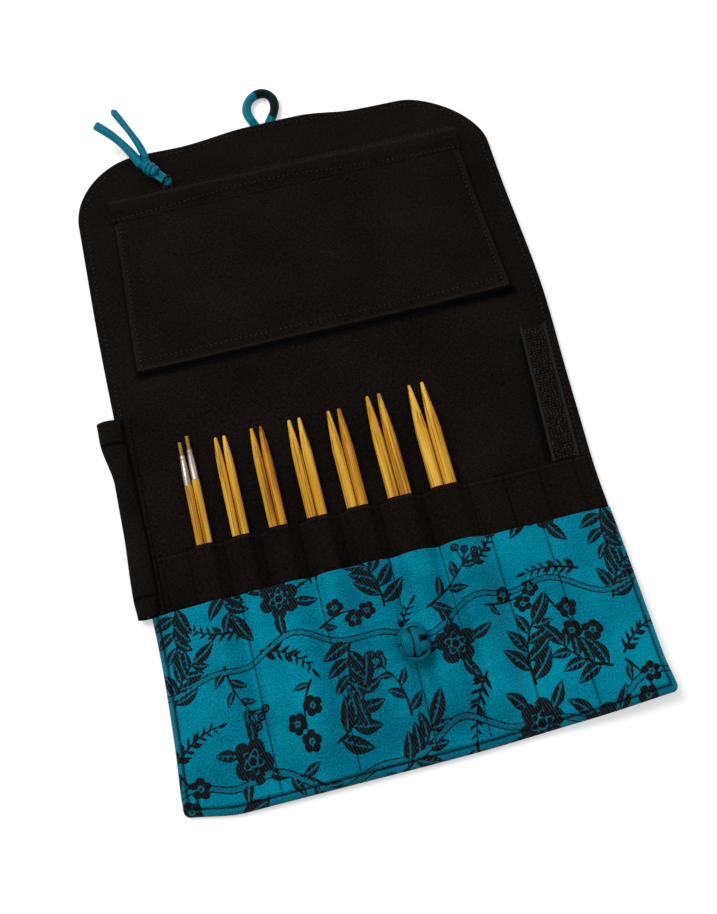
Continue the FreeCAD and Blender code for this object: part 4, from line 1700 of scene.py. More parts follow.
    def brocade_rows(self) -> list[Grid]:
        """Seams through the brocade, and the topstitching inside its outer edges.

        Returns:
            The lines.
        """
        low, high = box_mm("brocade_pocket")
        rows = []
        along = np.linspace(low.y + self.hem, high.y - 0.4, 160)
        for line in (*self.channels.brocade_lines, self.shape.left + self.hem, self.shape.right - self.hem):
            across = np.full_like(along, line)
            rows.append(self.turned_down(across, along))
        across = np.linspace(self.shape.left + self.hem, self.shape.right - self.hem, 260)
        rows.append(self.turned_down(across, np.full_like(across, low.y + self.hem)))
        return [row + (0.0, 0.0, 0.04) for row in rows]


class Axis(Enum):
    """Axis that a strand of the knot turns about."""
    ACROSS = 0
    ALONG = 1
    UP = 2


@dataclass(frozen=True)
class Strand:
    """One turn of the tube on the face of the knot, in millimetres and degrees."""
    axis: Axis
    offset: float
    radius: float
    start: float
    end: float
    tube: float
    dark: float = 0.0
    flat: float = 1.0

    def path(self, steps: int) -> Grid:
        """Middle line of the strand about the knot's middle.

        Args:
            steps: number of points.
        Returns:
            The points.
        """
        angle = np.radians(np.linspace(self.start, self.end, steps))
        first, second = [axis for axis in range(3) if axis != self.axis.value]
        points = np.zeros((steps, 3))
        points[:, self.axis.value] = self.offset
        points[:, first] = self.flat * self.radius * np.cos(angle)
        points[:, second] = self.radius * np.sin(angle)
        return points


@dataclass
class KnotButton:
    """Ball knot of fabric tube on a short shank."""
    finishes: Finishes
    settle_by: tuple[float, float, float] = (-0.9, -4.0, -0.8)
    stretch: tuple[float, float, float] = (1.0, 1.13, 0.95)
    strands: tuple[Strand, ...] = (
        Strand(Axis.ACROSS, -3.0, 4.7, 0.0, 180.0, 2.9, flat=0.55),
        Strand(Axis.ACROSS, 0.4, 5.3, 5.0, 175.0, 1.6, flat=0.8),
        Strand(Axis.ALONG, -2.1, 3.6, -35.0, 75.0, 2.5),
        Strand(Axis.ALONG, 2.2, 3.4, -35.0, 75.0, 2.5, 0.38),
        Strand(Axis.UP, 0.6, 5.1, 40.0, 176.0, 2.0),
        Strand(Axis.UP, 0.2, 5.2, 186.0, 318.0, 2.0))
    steps: int = 48
    sides: int = 24

    def build(self) -> None:
        """Winds the tube into a ball."""
        low, high = box_mm("ball_knot_button")
        centre = np.array((low + high) / 2) + self.settle_by
        nodes = ["ball_knot_button"]
        for number, strand in enumerate(self.strands):
            path = strand.path(self.steps) * self.stretch + centre
            rings = tube_rings(path, strand.tube, self.sides)
            out = path - centre
            out = out / np.linalg.norm(out, axis=1)[:, None]
            facing = np.einsum("ijk,ik->ij", rings - path[:, None, :], out) / strand.tube
            # painted shade: the tube darkens where it faces into the knot, in the crevices between strands
            dark = strand.dark + 0.85 * smooth_step(0.5, 0.2, facing)
            uv = stacked(np.arange(self.steps)[:, None] * 0.3, np.arange(self.sides)[None, :] * 0.7)
            faces = tube_faces(self.steps, self.sides)
            turn = make_object(f"knot_strand_{number}", rings.reshape(-1, 3), faces, self.finishes.tube,
                               uv.reshape(-1, 2), {"dark": dark})
            settle(turn, "case_body", "fabric_tube", *nodes)
            nodes = []
        # the core is dark all over: painted shade seen between the strands
        turn = np.linspace(-1.0, 1.0, 11)
        core = stacked(-0.6, turn * 5.8, 0.0) + centre
        filling = make_tube("ball_knot_core", core, 5.0 * np.sqrt(1.04 - turn ** 2), self.finishes.tube,
                            18, fields={"dark": np.ones(11)})
        settle(filling, "case_body", "fabric_tube")
        low, high = box_mm("button_shank")
        middle = (low + high) / 2
        z = np.linspace(low.z - 0.3, high.z + 1.0, 12)
        path = stacked(middle.x, middle.y, z)
        width = (high.x - low.x) / 2 * (0.86 + 0.14 * np.cos((z - z[0]) / (z[-1] - z[0]) * 2 * math.pi))
        shank = make_tube("button_stalk", path, width, self.finishes.tube, 14, fields={"dark": np.zeros(12)})
        settle(shank, "case_body", "fabric_tube", "button_shank")


@dataclass
class ButtonLoop:
    """Loop of fabric tube at the flap's edge."""
    finishes: Finishes
    shape: CaseShape
    tube: float = 2.2
    stretch: tuple[float, float] = (1.05, 1.13)
    route: tuple[tuple[float, float], ...] = (
        (-6.0, -4.0), (-6.6, -1.0), (-8.2, 2.4), (-9.8, 6.4), (-9.0, 11.4), (-4.8, 15.2), (0.4, 16.0),
        (3.9, 12.9), (4.6, 8.6), (3.2, 4.0), (0.2, 0.6), (-1.2, -1.5), (-1.6, -4.0))

    def build(self) -> None:
        """Bends the tube into a loop and tucks its feet between cover and lining."""
        low, high = box_mm("button_loop")
        corners = np.array(self.route) * self.stretch + (0.0, self.shape.high)
        steps = np.linspace(0.0, len(corners) - 1.0, 121)
        flat = stacked(*(np.interp(steps, np.arange(len(corners)), column) for column in corners.T))
        for _ in range(60):
            flat[1:-1] = (flat[:-2] + 2 * flat[1:-1] + flat[2:]) / 4
        out = smooth_step(self.shape.high - 0.6, self.shape.high + 2.4, flat[:, 1])
        path = stacked(*flat.T, (low.z + high.z) / 2)
        share = steps / steps[-1]
        dark = smooth_step(0.40, 0.46, share) * smooth_step(0.84, 0.78, share)
        width = self.tube * (1.0 + 0.04 * np.sin(share * 31.0))
        loop = make_tube("button_loop_tube", path, width, self.finishes.tube, 16, flat=0.2 + 0.8 * out,
                         fields={"dark": dark})
        settle(loop, "flap", "fabric_tube", "button_loop")


@dataclass
class SideFlap:
    """Side flap tucked under the case, its gusset and the rolled fold between them."""
    shape: CaseShape
    finishes: Finishes
    design: FigureDesign
    sewing: Sewing
    cloth: float = 0.45
    face_cloth: float = 0.16
    back_cloth: float = 0.42
    start_x: float = -93.9
    turn_x: float = -95.9
    crown: float = 6.3
    hem: float = 11.0
    inset: float = 2.5
    design_shift: tuple[float, float] = (37.0, 20.0)

    def build(self) -> None:
        """Builds the cloth pieces of the flap."""
        self.gusset()
        self.roll()
        self.panel()

    @staticmethod
    def valley(y: Grid) -> Grid:
        """Where the roll meets the gusset's flat strip."""
        return (-97.4 + 1.3 * smooth_step(42.0, 5.0, y) + 0.6 * smooth_step(5.0, -15.0, y)
                - 0.9 * smooth_step(-33.0, -46.0, y))

    @staticmethod
    def brim(y: Grid) -> Grid:
        """Outermost place of the roll."""
        return (-108.2 + 3.2 * smooth_step(37.0, 15.0, y) - 0.9 * smooth_step(-5.0, -35.0, y)
                + 0.5 * smooth_step(-36.0, -44.0, y))

    def gusset(self) -> None:
        """Strip that is sewn to the lining and turns up into the roll."""
        low, high = box_mm("gusset")
        share, y = np.meshgrid(np.linspace(0.0, 1.0, 20), np.linspace(low.y, high.y, 90))
        x = self.start_x + share * (self.valley(y) - self.start_x)
        z = self.shape.top(x, y) + 0.12 + 0.25 * smooth_step(0.0, 0.2, share)
        # painted shade darkening towards the valley where the strip meets the roll
        strip = thick_sheet("gusset_strip", stacked(x, y, z), self.cloth, self.finishes.cotton,
                            fields={"painted_shade": smooth_step(0.45, 0.9, share)})
        hinge = self.shape.joint_place("gusset_turn")
        bend_across(strip, ("case_body", "gusset"), (self.start_x, 0, hinge.z), (self.turn_x, 0, hinge.z),
                    "black_cotton", "gusset")

    def roll(self) -> None:
        """Rolled fold that shows at the case's side, hemmed at both ends."""
        low, high = box_mm("side_flap_roll")
        axis = self.shape.joint_place("side_flap_turn")
        y = np.linspace(low.y, high.y, 150)[:, None]
        over, below = np.linspace(-0.12, math.pi, 46), np.linspace(math.pi, 1.5 * math.pi, 16)
        turn = np.concatenate([over, below[1:]])[None, :]
        wide = (self.valley(y) - self.brim(y)) / 2
        middle = (self.valley(y) + self.brim(y)) / 2
        hems = np.maximum(smooth_step(high.y - self.hem - 0.2, high.y - self.hem + 0.5, y),
                          0.6 * smooth_step(low.y + 8.2, low.y + 7.5, y))
        groove = bell(y - high.y + self.hem + 0.25, 0.5) + 0.7 * bell(y - low.y - 8.4, 0.5)
        upper = turn <= math.pi
        outward = smooth_step(0.5 * math.pi, math.pi, turn)
        floor = np.where(upper, self.shape.top_z + 0.45 - 0.7 * outward, 2.9)
        tall = np.where(upper, self.crown - floor + 0.35 * hems + 0.15 * np.sin(y * 0.21 + 1.0), 2.85)
        x = middle + wide * np.cos(turn)
        z = floor + tall * np.sin(turn)
        free = np.clip(np.sin(turn), 0.0, 1.0)
        z = z - 0.5 * groove * free + 0.12 * free * np.sin(y * 0.63 + 2.0 * np.cos(turn))
        tucked = (0.9, 1.8, 2.7)
        x = np.concatenate([x, middle + tucked], 1)
        z = np.pad(np.maximum(z, 0.05), ((0, 0), (0, len(tucked))), constant_values=0.05)
        points = stacked(x, y, z)
        run = np.cumsum(np.hypot(np.diff(x, axis=1), np.diff(z, axis=1)), 1)
        uv = stacked(np.pad(run, ((0, 0), (1, 0))), y)
        turn = np.pad(turn, ((0, 0), (0, len(tucked))), constant_values=3.0)
        # painted shade in the valley at the roll's inner edge and in the hem grooves
        painted_shade = np.maximum(smooth_step(0.45, -0.12, turn), groove)
        fold = thick_sheet("flap_fold_roll", points, self.cloth, self.finishes.cotton, up=False, uv=uv,
                           fields={"painted_shade": np.broadcast_to(painted_shade, x.shape)})
        bend_across(fold, ("gusset", "side_flap"), (axis.x, 0, axis.z + 1.6), (axis.x, 0, axis.z - 1.6),
                    "black_cotton", "side_flap_roll")

    def panel(self) -> None:
        """Two layers of the flap, lining side down."""
        low, high = box_mm("side_flap_face")
        top = box_mm("side_flap_back")[1].z
        tape_low, tape_high = box_mm("hook_tape")
        x, y = flat_grid(low, high, 150, 70)
        middle, half = (tape_low + tape_high) / 2, (tape_high - tape_low) / 2
        off = np.maximum(np.abs(x - middle.x) - half.x, np.abs(y - middle.y) - half.y)
        z = 0.05 + 0.27 * smooth_step(1.8, 0.0, off)
        face = thick_sheet("flap_face", stacked(x, y, z), self.face_cloth, self.finishes.cotton, up=False)
        settle(face, "side_flap", "black_cotton", "side_flap_face")
        x, y = flat_grid(low, high, 236, 110)
        fields = self.design.draw(x + self.design_shift[0], y + self.design_shift[1])
        back = thick_sheet("flap_back", stacked(x, y, top - 0.04), self.back_cloth, self.finishes.brocade,
                           fields=fields)
        settle(back, "side_flap", "brocade", "side_flap_back")
        inset = self.inset
        corners = np.array([[low.x, low.y + inset], [high.x - inset, low.y + inset],
                            [high.x - inset, high.y - inset], [low.x, high.y - inset]])
        rows = [stacked(np.linspace(a[0], b[0], 90), np.linspace(a[1], b[1], 90), top - 0.06)
                for a, b in zip(corners, corners[1:])]
        settle(self.sewing.sew("flap_topstitch", rows, dark=True), "side_flap", "black_cotton")


class Pile(Enum):
    """Side of the fastening tape."""
    LOOPS = "loops"
    HOOKS = "hooks"


@dataclass
class FasteningTape:
    """Loop tape on the lining and hook tape on the side flap."""
    finishes: Finishes
    lean: float = 0.066
    tree: NodeTree = field(init=False)

    def __post_init__(self) -> None:
        """Builds the tree that sets bits of pile on a tape."""
        tree = NodeTree("tape_pile")
        size, lean = tree.size("Size", "NodeSocketVector"), tree.size("Lean")
        bead = tree.node("GeometryNodeMeshIcoSphere", {"Radius": 1.0, "Subdivisions": 1})
        full_turn = 6.283
        spin = tree.node("FunctionNodeRandomValue", {3: full_turn, "Seed": 3}, data_type="FLOAT")
        low = tree.node("ShaderNodeMath", {0: lean, 1: -1.0}, operation="MULTIPLY")
        tilt = {2: low.outputs[0], 3: lean, "Seed": 8}
        tip = tree.node("FunctionNodeRandomValue", tilt, data_type="FLOAT").outputs[1]
        turn = tree.node("ShaderNodeCombineXYZ", {"X": tip, "Y": tip, "Z": spin.outputs[1]})
        set_on = tree.node("GeometryNodeInstanceOnPoints", {
            "Points": tree.start.outputs["Geometry"], "Instance": bead.outputs[0],
            "Rotation": turn.outputs[0], "Scale": size})
        tree.close(set_on.outputs[0])
        self.tree = tree

    def build(self) -> None:
        """Builds both tapes."""
        self.tape("loop_tape", "case_body", Pile.LOOPS)
        self.tape("hook_tape", "side_flap", Pile.HOOKS)

    def tape(self, node: str, body: str, pile: Pile) -> None:
        """Woven ground with its pile, and plain woven edges.

        Args:
            node: CAD node that it replaces.
            body: CAD body that it moves with.
            pile: which side of the fastening it is.
        """
        low, high = box_mm(node)
        looped = pile is Pile.LOOPS
        ground = low.z + 0.55 if looped else low.z + 0.22
        high.y += 2.0 if looped else 0.0
        x, y = flat_grid(low, high, 49, 30)
        lean = self.lean if looped else 0.0
        middle = (low.y + high.y) / 2
        edge = 1.5
        piled = smooth_step(edge - 0.4, edge, np.minimum(x - low.x, high.x - x))
        x = x + lean * (y - middle)
        # the ground is darker where the pile stands: painted shade among the pile bits
        strip = thick_sheet(node + "_ground", stacked(x, y, ground),
                            0.5 if looped else -0.1, self.finishes.tape, fields={"painted_shade": piled})
        settle(strip, body, "fastening_tape", node)
        z = ground + 0.15 if looped else ground - 0.05
        pitch = 1.4 if looped else 0.85
        across = np.linspace(low.x + edge + pitch / 2, high.x - edge - pitch / 2,
                             int((high.x - low.x - 2 * edge) / pitch))
        dots = []
        dice = np.random.RandomState(11)
        for row, along in enumerate(np.arange(low.y + 0.9, high.y - 0.6, pitch * 0.9)):
            sway = 0.3 * math.sin(row * 0.9) * pitch + lean * (along - middle)
            jitter = dice.uniform(-0.2, 0.2, (len(across), 2)) * pitch
            dots.extend((place + sway + off[0], along + off[1], z) for place, off in zip(across, jitter))
        seed = bpy.data.meshes.new(node + "_seed")
        seed.from_pydata([tuple(MM * value for value in dot) for dot in dots], [], [])
        sizes = {"Lean": 0.4 if looped else 0.15,
                 "Size": Vector((0.60, 0.52, 0.5)) * MM if looped else Vector((0.12, 0.2, 0.15)) * MM,
                 "Material": self.finishes.pile}
        settle(self.tree.grow(node + "_pile", seed, sizes), body, "fastening_tape")


@dataclass
class ZipPouch:
    """Flat pouch on the flap, with its zip, slider and pull."""
    finishes: Finishes
    sewing: Sewing
    cloth: float = 0.42
    rear_cloth: float = 0.38
    lap_cloth: float = 0.45
    tape_cloth: float = 0.36
    inset: float = 3.2
    bend: float = 9.0
    tooth_pitch: float = 1.25
    strand: float = 1.3
    knot_strand: float = 1.55
    flat: float = 0.84
    low: Vector = field(init=False)
    high: Vector = field(init=False)

    def __post_init__(self) -> None:
        """Reads the place of the pouch's front."""
        self.low, self.high = box_mm("pouch_front")

    def build(self) -> None:
        """Builds the pouch and its zip."""
        self.bag()
        self.zip()
        self.slider()
        self.pull()

    def bag_height(self, x: Grid, y: Grid) -> Grid:
        """Upper face of the pouch's front.

        Args:
            x: places across the case.
            y: places along the case.
        Returns:
            The heights.
        """
        low, high = self.low, self.high
        edge = np.minimum(np.minimum(x - low.x, high.x - x), y - low.y)
        puff = 0.66 * smooth_step(0.0, 20.0, edge) * smooth_step(0.0, 12.0, high.y - y)
        wave = 0.07 * np.sin(x * 0.083 + 0.4) * np.sin(y * 0.071) + 0.03 * np.sin(x * 0.21 + y * 0.17)
        clear_of_needles = smooth_step(42.0, 70.0, x)
        raised = (0.15 + 1.45 * clear_of_needles) * smooth_step(18.0, 0.0, y - low.y)
        raised = raised + 1.2 * smooth_step(16.0, 0.0, high.x - x) + 0.5 * smooth_step(10.0, 0.0, x - low.x)
        inner = smooth_step(0.0, 6.0, edge)
        puff = puff + 0.9 * smooth_step(20.0, 0.0, high.y - y) * inner
        ease = smooth_step(0.0, 10.0, high.y - y)
        return high.z + puff + (wave * inner + raised) * ease - 0.5 * (1.0 - round_over(edge, 1.2))

    def splay(self, points: Grid) -> Grid:
        """Widens the pouch towards its lower edge.

        Args:
            points: places in millimetres.
        Returns:
            The moved places.
        """
        low, high = self.low, self.high
        moved = np.array(points, float)
        down = smooth_step(high.y - 6.0, low.y, points[..., 1])
        moved[..., 0] += 2.4 * down * (points[..., 0] - (low.x + high.x) / 2) / ((high.x - low.x) / 2)
        moved[..., 1] -= 0.8 * smooth_step(low.y + 30.0, low.y, points[..., 1])
        return moved

    def bag(self) -> None:
        """Front and back of the pouch."""
        low, high = self.low, self.high
        x, y = flat_grid(low, high, 150, 110)
        z = self.bag_height(x, y)
        edge = np.minimum(np.minimum(x - low.x, high.x - x), y - low.y)
        # painted shade at the pouch's edges with a painted highlight band just inside them, and a painted
        # shadow along the lower edge
        painted_shade = smooth_step(0.7, 0.0, edge) - 0.35 * bell(edge - 1.6, 0.9)
        painted_shade = painted_shade + 1.3 * smooth_step(1.5, 0.6, y - low.y)
        front = thick_sheet("pouch_face", self.splay(stacked(x, y, z)), self.cloth,
                            self.finishes.cotton, fields={"painted_shade": painted_shade})
        self.hang(front, "pouch_front")
        back_low, back_high = box_mm("pouch_back")
        x, y = flat_grid(back_low, back_high, 40, 30)
        z = self.bag_height(x, y) - 0.6
        back = thick_sheet("pouch_rear", self.splay(stacked(x, y, z)), self.rear_cloth,
                           self.finishes.cotton)
        self.hang(back, "pouch_back")
        inset = self.inset
        rows = []
        for start, end in (((low.x + inset, low.y + 6.0), (high.x - inset, low.y + 6.0)),
                           ((low.x + inset, low.y + 1.0), (low.x + inset, high.y - 0.5)),
                           ((high.x - inset, low.y + 1.0), (high.x - inset, high.y - 0.5))):
            across, along = np.linspace(start[0], end[0], 120), np.linspace(start[1], end[1], 120)
            row = stacked(across, along, self.bag_height(across, along) + 0.03)
            rows.append(self.splay(row))
        self.hang(self.sewing.sew("pouch_seams", rows))

    def hang(self, piece: Object, *nodes: str) -> None:
        """Passes a layer of the pouch to bend_across with the top edge that it hangs from.

        Args:
            piece: the layer, or its stitches.
            nodes: CAD nodes that it replaces.
        """
        y, z = self.high.y, self.high.z
        bend_across(piece, ("flap", "pouch"), (0, y, z), (0, y - self.bend, z), "black_cotton", *nodes)

    @staticmethod
    def lap_height(x: Grid, y: Grid) -> Grid:
        """Upper face of the lap, which stands over the zip and turns down at its open edge.

        Args:
            x: places across the case.
            y: places along the case.
        Returns:
            The heights.
        """
        low, high = box_mm("zip_lap")
        foot = low.z + 1.45
        down = 0.26 * (1.0 - round_over(high.y - y, 1.3))
        wave = 0.12 * np.sin(x * 0.11) * smooth_step(low.y + 3.0, high.y, y)
        slope = (high.z - foot) * smooth_step(low.y + 0.4, low.y + 6.6, y)
        return foot + slope + np.maximum(wave, 0.0) - down

    def zip(self) -> None:
        """Lap, tapes and teeth."""
        low, high = box_mm("zip_lap")
        x, y = flat_grid(low, high, 130, 40)
        z = self.lap_height(x, y)
        y = y - 0.9 * smooth_step(-50.0, 85.0, x) * smooth_step(low.y + 4.0, high.y, y)
        # painted shade at the lap's open edge with a painted highlight band just inside it
        painted_shade = smooth_step(0.9, 0.0, high.y - y) - 0.35 * bell(high.y - y - 1.8, 0.9)
        lap = thick_sheet("lap_over_zip", stacked(x, y, z), self.lap_cloth, self.finishes.cotton,
                          fields={"painted_shade": painted_shade})
        settle(lap, "flap", "black_cotton", "zip_lap")
        across = np.linspace(low.x + 1.0, high.x - 1.0, 150)
        along = low.y + 1.0 + 4.0 * bell(across + 12.0, 48.0)
        rows = [stacked(across, along, self.lap_height(across, along) + 0.03)]
        for node in ("zip_tape_upper", "zip_tape_lower"):
            low, high = box_mm(node)
            x, y = flat_grid(low, high, 60, 10)
            tape = thick_sheet(node + "_weave", stacked(x, y, high.z), self.tape_cloth,
                               self.finishes.zip_tape)
            settle(tape, "flap", "zip_tape", node)
        low, high = box_mm("zip_tape_upper")
        across = np.linspace(low.x + 1.0, high.x - 1.0, 150)
        rows.append(stacked(across, high.y - 0.9, high.z + 0.03))
        settle(self.sewing.sew("zip_seams", rows), "flap", "black_cotton")
        self.teeth()
        for node in ("zip_stops", "pull_bail"):
            self.dress(node, self.finishes.enamel)

    @staticmethod
    def dress(node: str, material: Material) -> None:
        """Gives a CAD node its finish.

        Args:
            node: the CAD node's name.
            material: its finish.
        """
        mesh = frame["nodes"][node].data
        mesh.materials.clear()
        mesh.materials.append(material)
        LOG.info("%s in its own shape", node)

    def teeth(self) -> None:
        """Coil teeth in two rows that mesh with each other."""
        low, high = box_mm("zip_teeth")
        tree = NodeTree("coil_teeth")
        pitch, size = tree.size("Pitch"), tree.size("Size", "NodeSocketVector")
        spaced = tree.spaced(pitch)
        coil = tree.node("GeometryNodeMeshUVSphere", {"Segments": 8, "Rings": 6, "Radius": 1.0})
        laid = tree.node("GeometryNodeInstanceOnPoints", {
            "Points": spaced.outputs[0], "Instance": coil.outputs[0], "Scale": size})
        tree.close(laid.outputs[0])
        z = (low.z + high.z) / 2
        middle = (low.y + high.y) / 2
        inset, apart = 0.6, 0.42
        rows = [np.array([[low.x + inset + shift, middle + side, z], [high.x - inset, middle + side, z]])
                for shift, side in ((0.0, apart), (self.tooth_pitch / 2, -apart))]
        sizes = {"Pitch": self.tooth_pitch * MM, "Size": Vector((0.40, 1.02, (high.z - low.z) / 2)) * MM,
                 "Material": self.finishes.nylon}
        coils = tree.grow("coil_teeth", line_mesh("coil_teeth", rows), sizes)
        settle(coils, "flap", "zip_nylon", "zip_teeth")

    def slider(self) -> None:
        """Slider with a waisted plate and the lug that carries the bail."""
        low, high = box_mm("zip_slider")
        teeth_low, teeth_high = box_mm("zip_teeth")
        centre = np.array([(low.x + high.x) / 2, (teeth_low.y + teeth_high.y) / 2, 0.0])
        length, width = high.x - low.x, 2 * (centre[1] - low.y)
        turn = np.linspace(0.0, 2 * math.pi, 56, endpoint=False)
        across, along = np.cos(turn), np.sin(turn)
        plan = stacked(np.sign(across) * np.abs(across) ** 0.6 * length / 2,
                       np.sign(along) * np.abs(along) ** 0.6 * width / 2)
        plan[:, 1] *= 1.0 - 0.16 * smooth_step(0.2, 0.9, plan[:, 0] / length + 0.5)
        levels = ((low.z, 0.93), (low.z + 0.3, 1.0), (high.z - 0.4, 1.0), (high.z - 0.1, 0.95),
                  (high.z, 0.86))
        plate = self.block("slider_plate", centre, plan, levels)
        settle(plate, "zip_pull", "zip_metal", "zip_slider")
        end = 2.3
        reach = high.y - end - centre[1]
        plan = stacked(end * across, end * along + np.where(along > 0.0, reach, 0.0))
        levels = tuple((high.z - depth, (share, 1.0))
                       for depth, share in ((0.85, 0.9), (0.7, 1.0), (0.15, 1.0), (0.0, 0.93)))
        settle(self.block("slider_lug", centre, plan, levels), "zip_pull", "zip_metal")

    def block(self, name: str, centre: Grid, plan: Grid, levels: tuple) -> Object:
        """Solid of enamelled metal from one outline at several heights.

        Args:
            name: the piece's name.
            centre: its middle in millimetres.
            plan: outline about the middle.
            levels: height of each level, and the share of the outline's size there.
        Returns:
            The new object.
        """
        rings = np.concatenate([stacked(*(plan * share).T, z) for z, share in levels])
        return make_object(name, rings + centre, tube_faces(len(levels), len(plan)), self.finishes.enamel)

    def pull(self) -> None:
        """Fabric tube through the bail, its knot and its two tails."""
        bail_low, bail_high = box_mm("pull_bail")
        knot_low, knot_high = box_mm("pull_knot")
        seat = np.array((bail_low + bail_high) / 2)
        knot = np.array((knot_low + knot_high) / 2)
        seat[2] = knot[2]
        way = knot - seat
        way /= np.linalg.norm(way)
        side = np.array([-way[1], way[0], 0.0])
        turn = np.linspace(-math.pi / 2, math.pi / 2, 14)
        half = 1.15
        bend = [seat - way * (0.4 + half * math.cos(angle)) + side * half * math.sin(angle)
                for angle in turn]
        path = np.array([knot - side * half, *bend, knot + side * half])
        # the bend round the bail is partly dark: painted shade where the bight wraps the bail
        bight = make_tube("pull_strands", path, self.strand, self.finishes.tube, 12, flat=0.8,
                          fields={"dark": np.array([0.0, *[0.34] * len(bend), 0.0])})
        settle(bight, "zip_pull", "fabric_tube", "pull_bight")
        t = np.linspace(0.0, 1.0, 120)
        angle = t * 2 * math.pi * 2.6 + 0.6
        spread = 2.0 * (1.0 - 0.15 * np.abs(2 * t - 1.0))
        wound = (knot + np.outer((t - 0.62) * 6.4, way) + np.outer(spread * np.cos(angle), side)
                 + np.outer(spread * np.sin(angle), (0.0, 0.0, 0.9)))
        knot_tube = make_tube("pull_knot_tube", wound, self.knot_strand, self.finishes.tube, 14,
                              fields={"dark": np.zeros(len(t))})
        settle(knot_tube, "zip_pull", "fabric_tube", "pull_knot")
        for name, radius, start in (("wide", 2.15, (-4.4, 3.6, 1.0)), ("slim", 1.7, (-0.8, 6.6, 1.9))):
            line = np.outer(np.linspace(0.0, 1.0, 14), np.array(start) - 1.2 * way) + knot + way * 1.2
            root = make_tube(f"pull_root_{name}", line, radius, self.finishes.tube, 16, flat=self.flat,
                             fields={"dark": np.zeros(len(line))})
            settle(root, "zip_pull", "fabric_tube")
        self.tail("pull_tail_wide", knot, 2.2, 0.72, (
            (-3.5, 2.1, 0.7), (-5.0, 5.9, 1.4), (-7.7, 11.0, 2.3),
            (-11.4, 16.9, 3.1), (-15.7, 22.3, 3.7), (-20.3, 26.9, 4.2)))
        self.tail("pull_tail_slim", knot, 1.75, 0.0, (
            (-0.5, 4.8, 1.55), (-1.2, 8.2, 2.3), (-2.7, 13.3, 3.3),
            (-5.0, 19.1, 4.0), (-8.2, 26.4, 4.6), (-11.4, 33.4, 5.0)))

    def tail(self, node: str, knot: Grid, radius: float, hollow: float, route: tuple) -> None:
        """One free tail of the pull, as a cord.

        Args:
            node: CAD node that it replaces.
            knot: middle of the pull's knot.
            radius: radius of the tube.
            hollow: inner share of an open end, or 0 for a closed one.
            route: places about the knot that guide it.
        """
        curve = bpy.data.curves.new(node + "_route", "CURVE")
        curve.dimensions = "3D"
        spline = curve.splines.new("NURBS")
        places = np.array(route) + knot
        spline.points.add(len(places) - 1)
        for point, place in zip(spline.points, places):
            point.co = (*(place * MM), 1.0)
        spline.order_u = 3
        spline.use_endpoint_u = True
        curve.resolution_u = 12
        holder = add_object(node + "_route", curve)
        evaluated = holder.evaluated_get(bpy.context.evaluated_depsgraph_get()).to_mesh()
        path = np.array([vertex.co[:] for vertex in evaluated.vertices]) / MM
        bpy.data.objects.remove(holder)
        run = lengths_along(path)
        even = np.linspace(0.0, run[-1], 70)
        path = stacked(*(np.interp(even, run, column) for column in path.T))
        share = even / run[-1]
        width = radius * (0.94 + 0.06 * np.sin(share * 9.0))
        if not hollow:
            width = width * np.sqrt(np.clip((1.0 - share) * 16.0, 0.03, 1.0))
        sides = 16
        rings = tube_rings(path, width, sides, flat=self.flat)
        dark = np.zeros(rings.shape[:2])
        uv = stacked(even[:, None], np.arange(sides)[None, :] * 0.4 * radius)
        # an open end is dark inside: painted shade in the hollow of the tube
        if hollow:
            mouth = path[-1] + (rings[-1] - path[-1]) * hollow
            deep = mouth - (path[-1] - path[-3]) * 1.5
            rings = np.concatenate([rings, [mouth, mouth, deep]])
            dark = np.pad(dark, ((0, 3), (0, 0)))
            dark[-2:] = 1.0
            uv = np.concatenate([uv, uv[-3:]])
        tube = make_object(node + "_tube", rings.reshape(-1, 3), tube_faces(len(rings), sides),
                           self.finishes.tube, uv.reshape(-1, 2), {"dark": dark})
        settle(tube, "zip_pull", "fabric_tube", node)


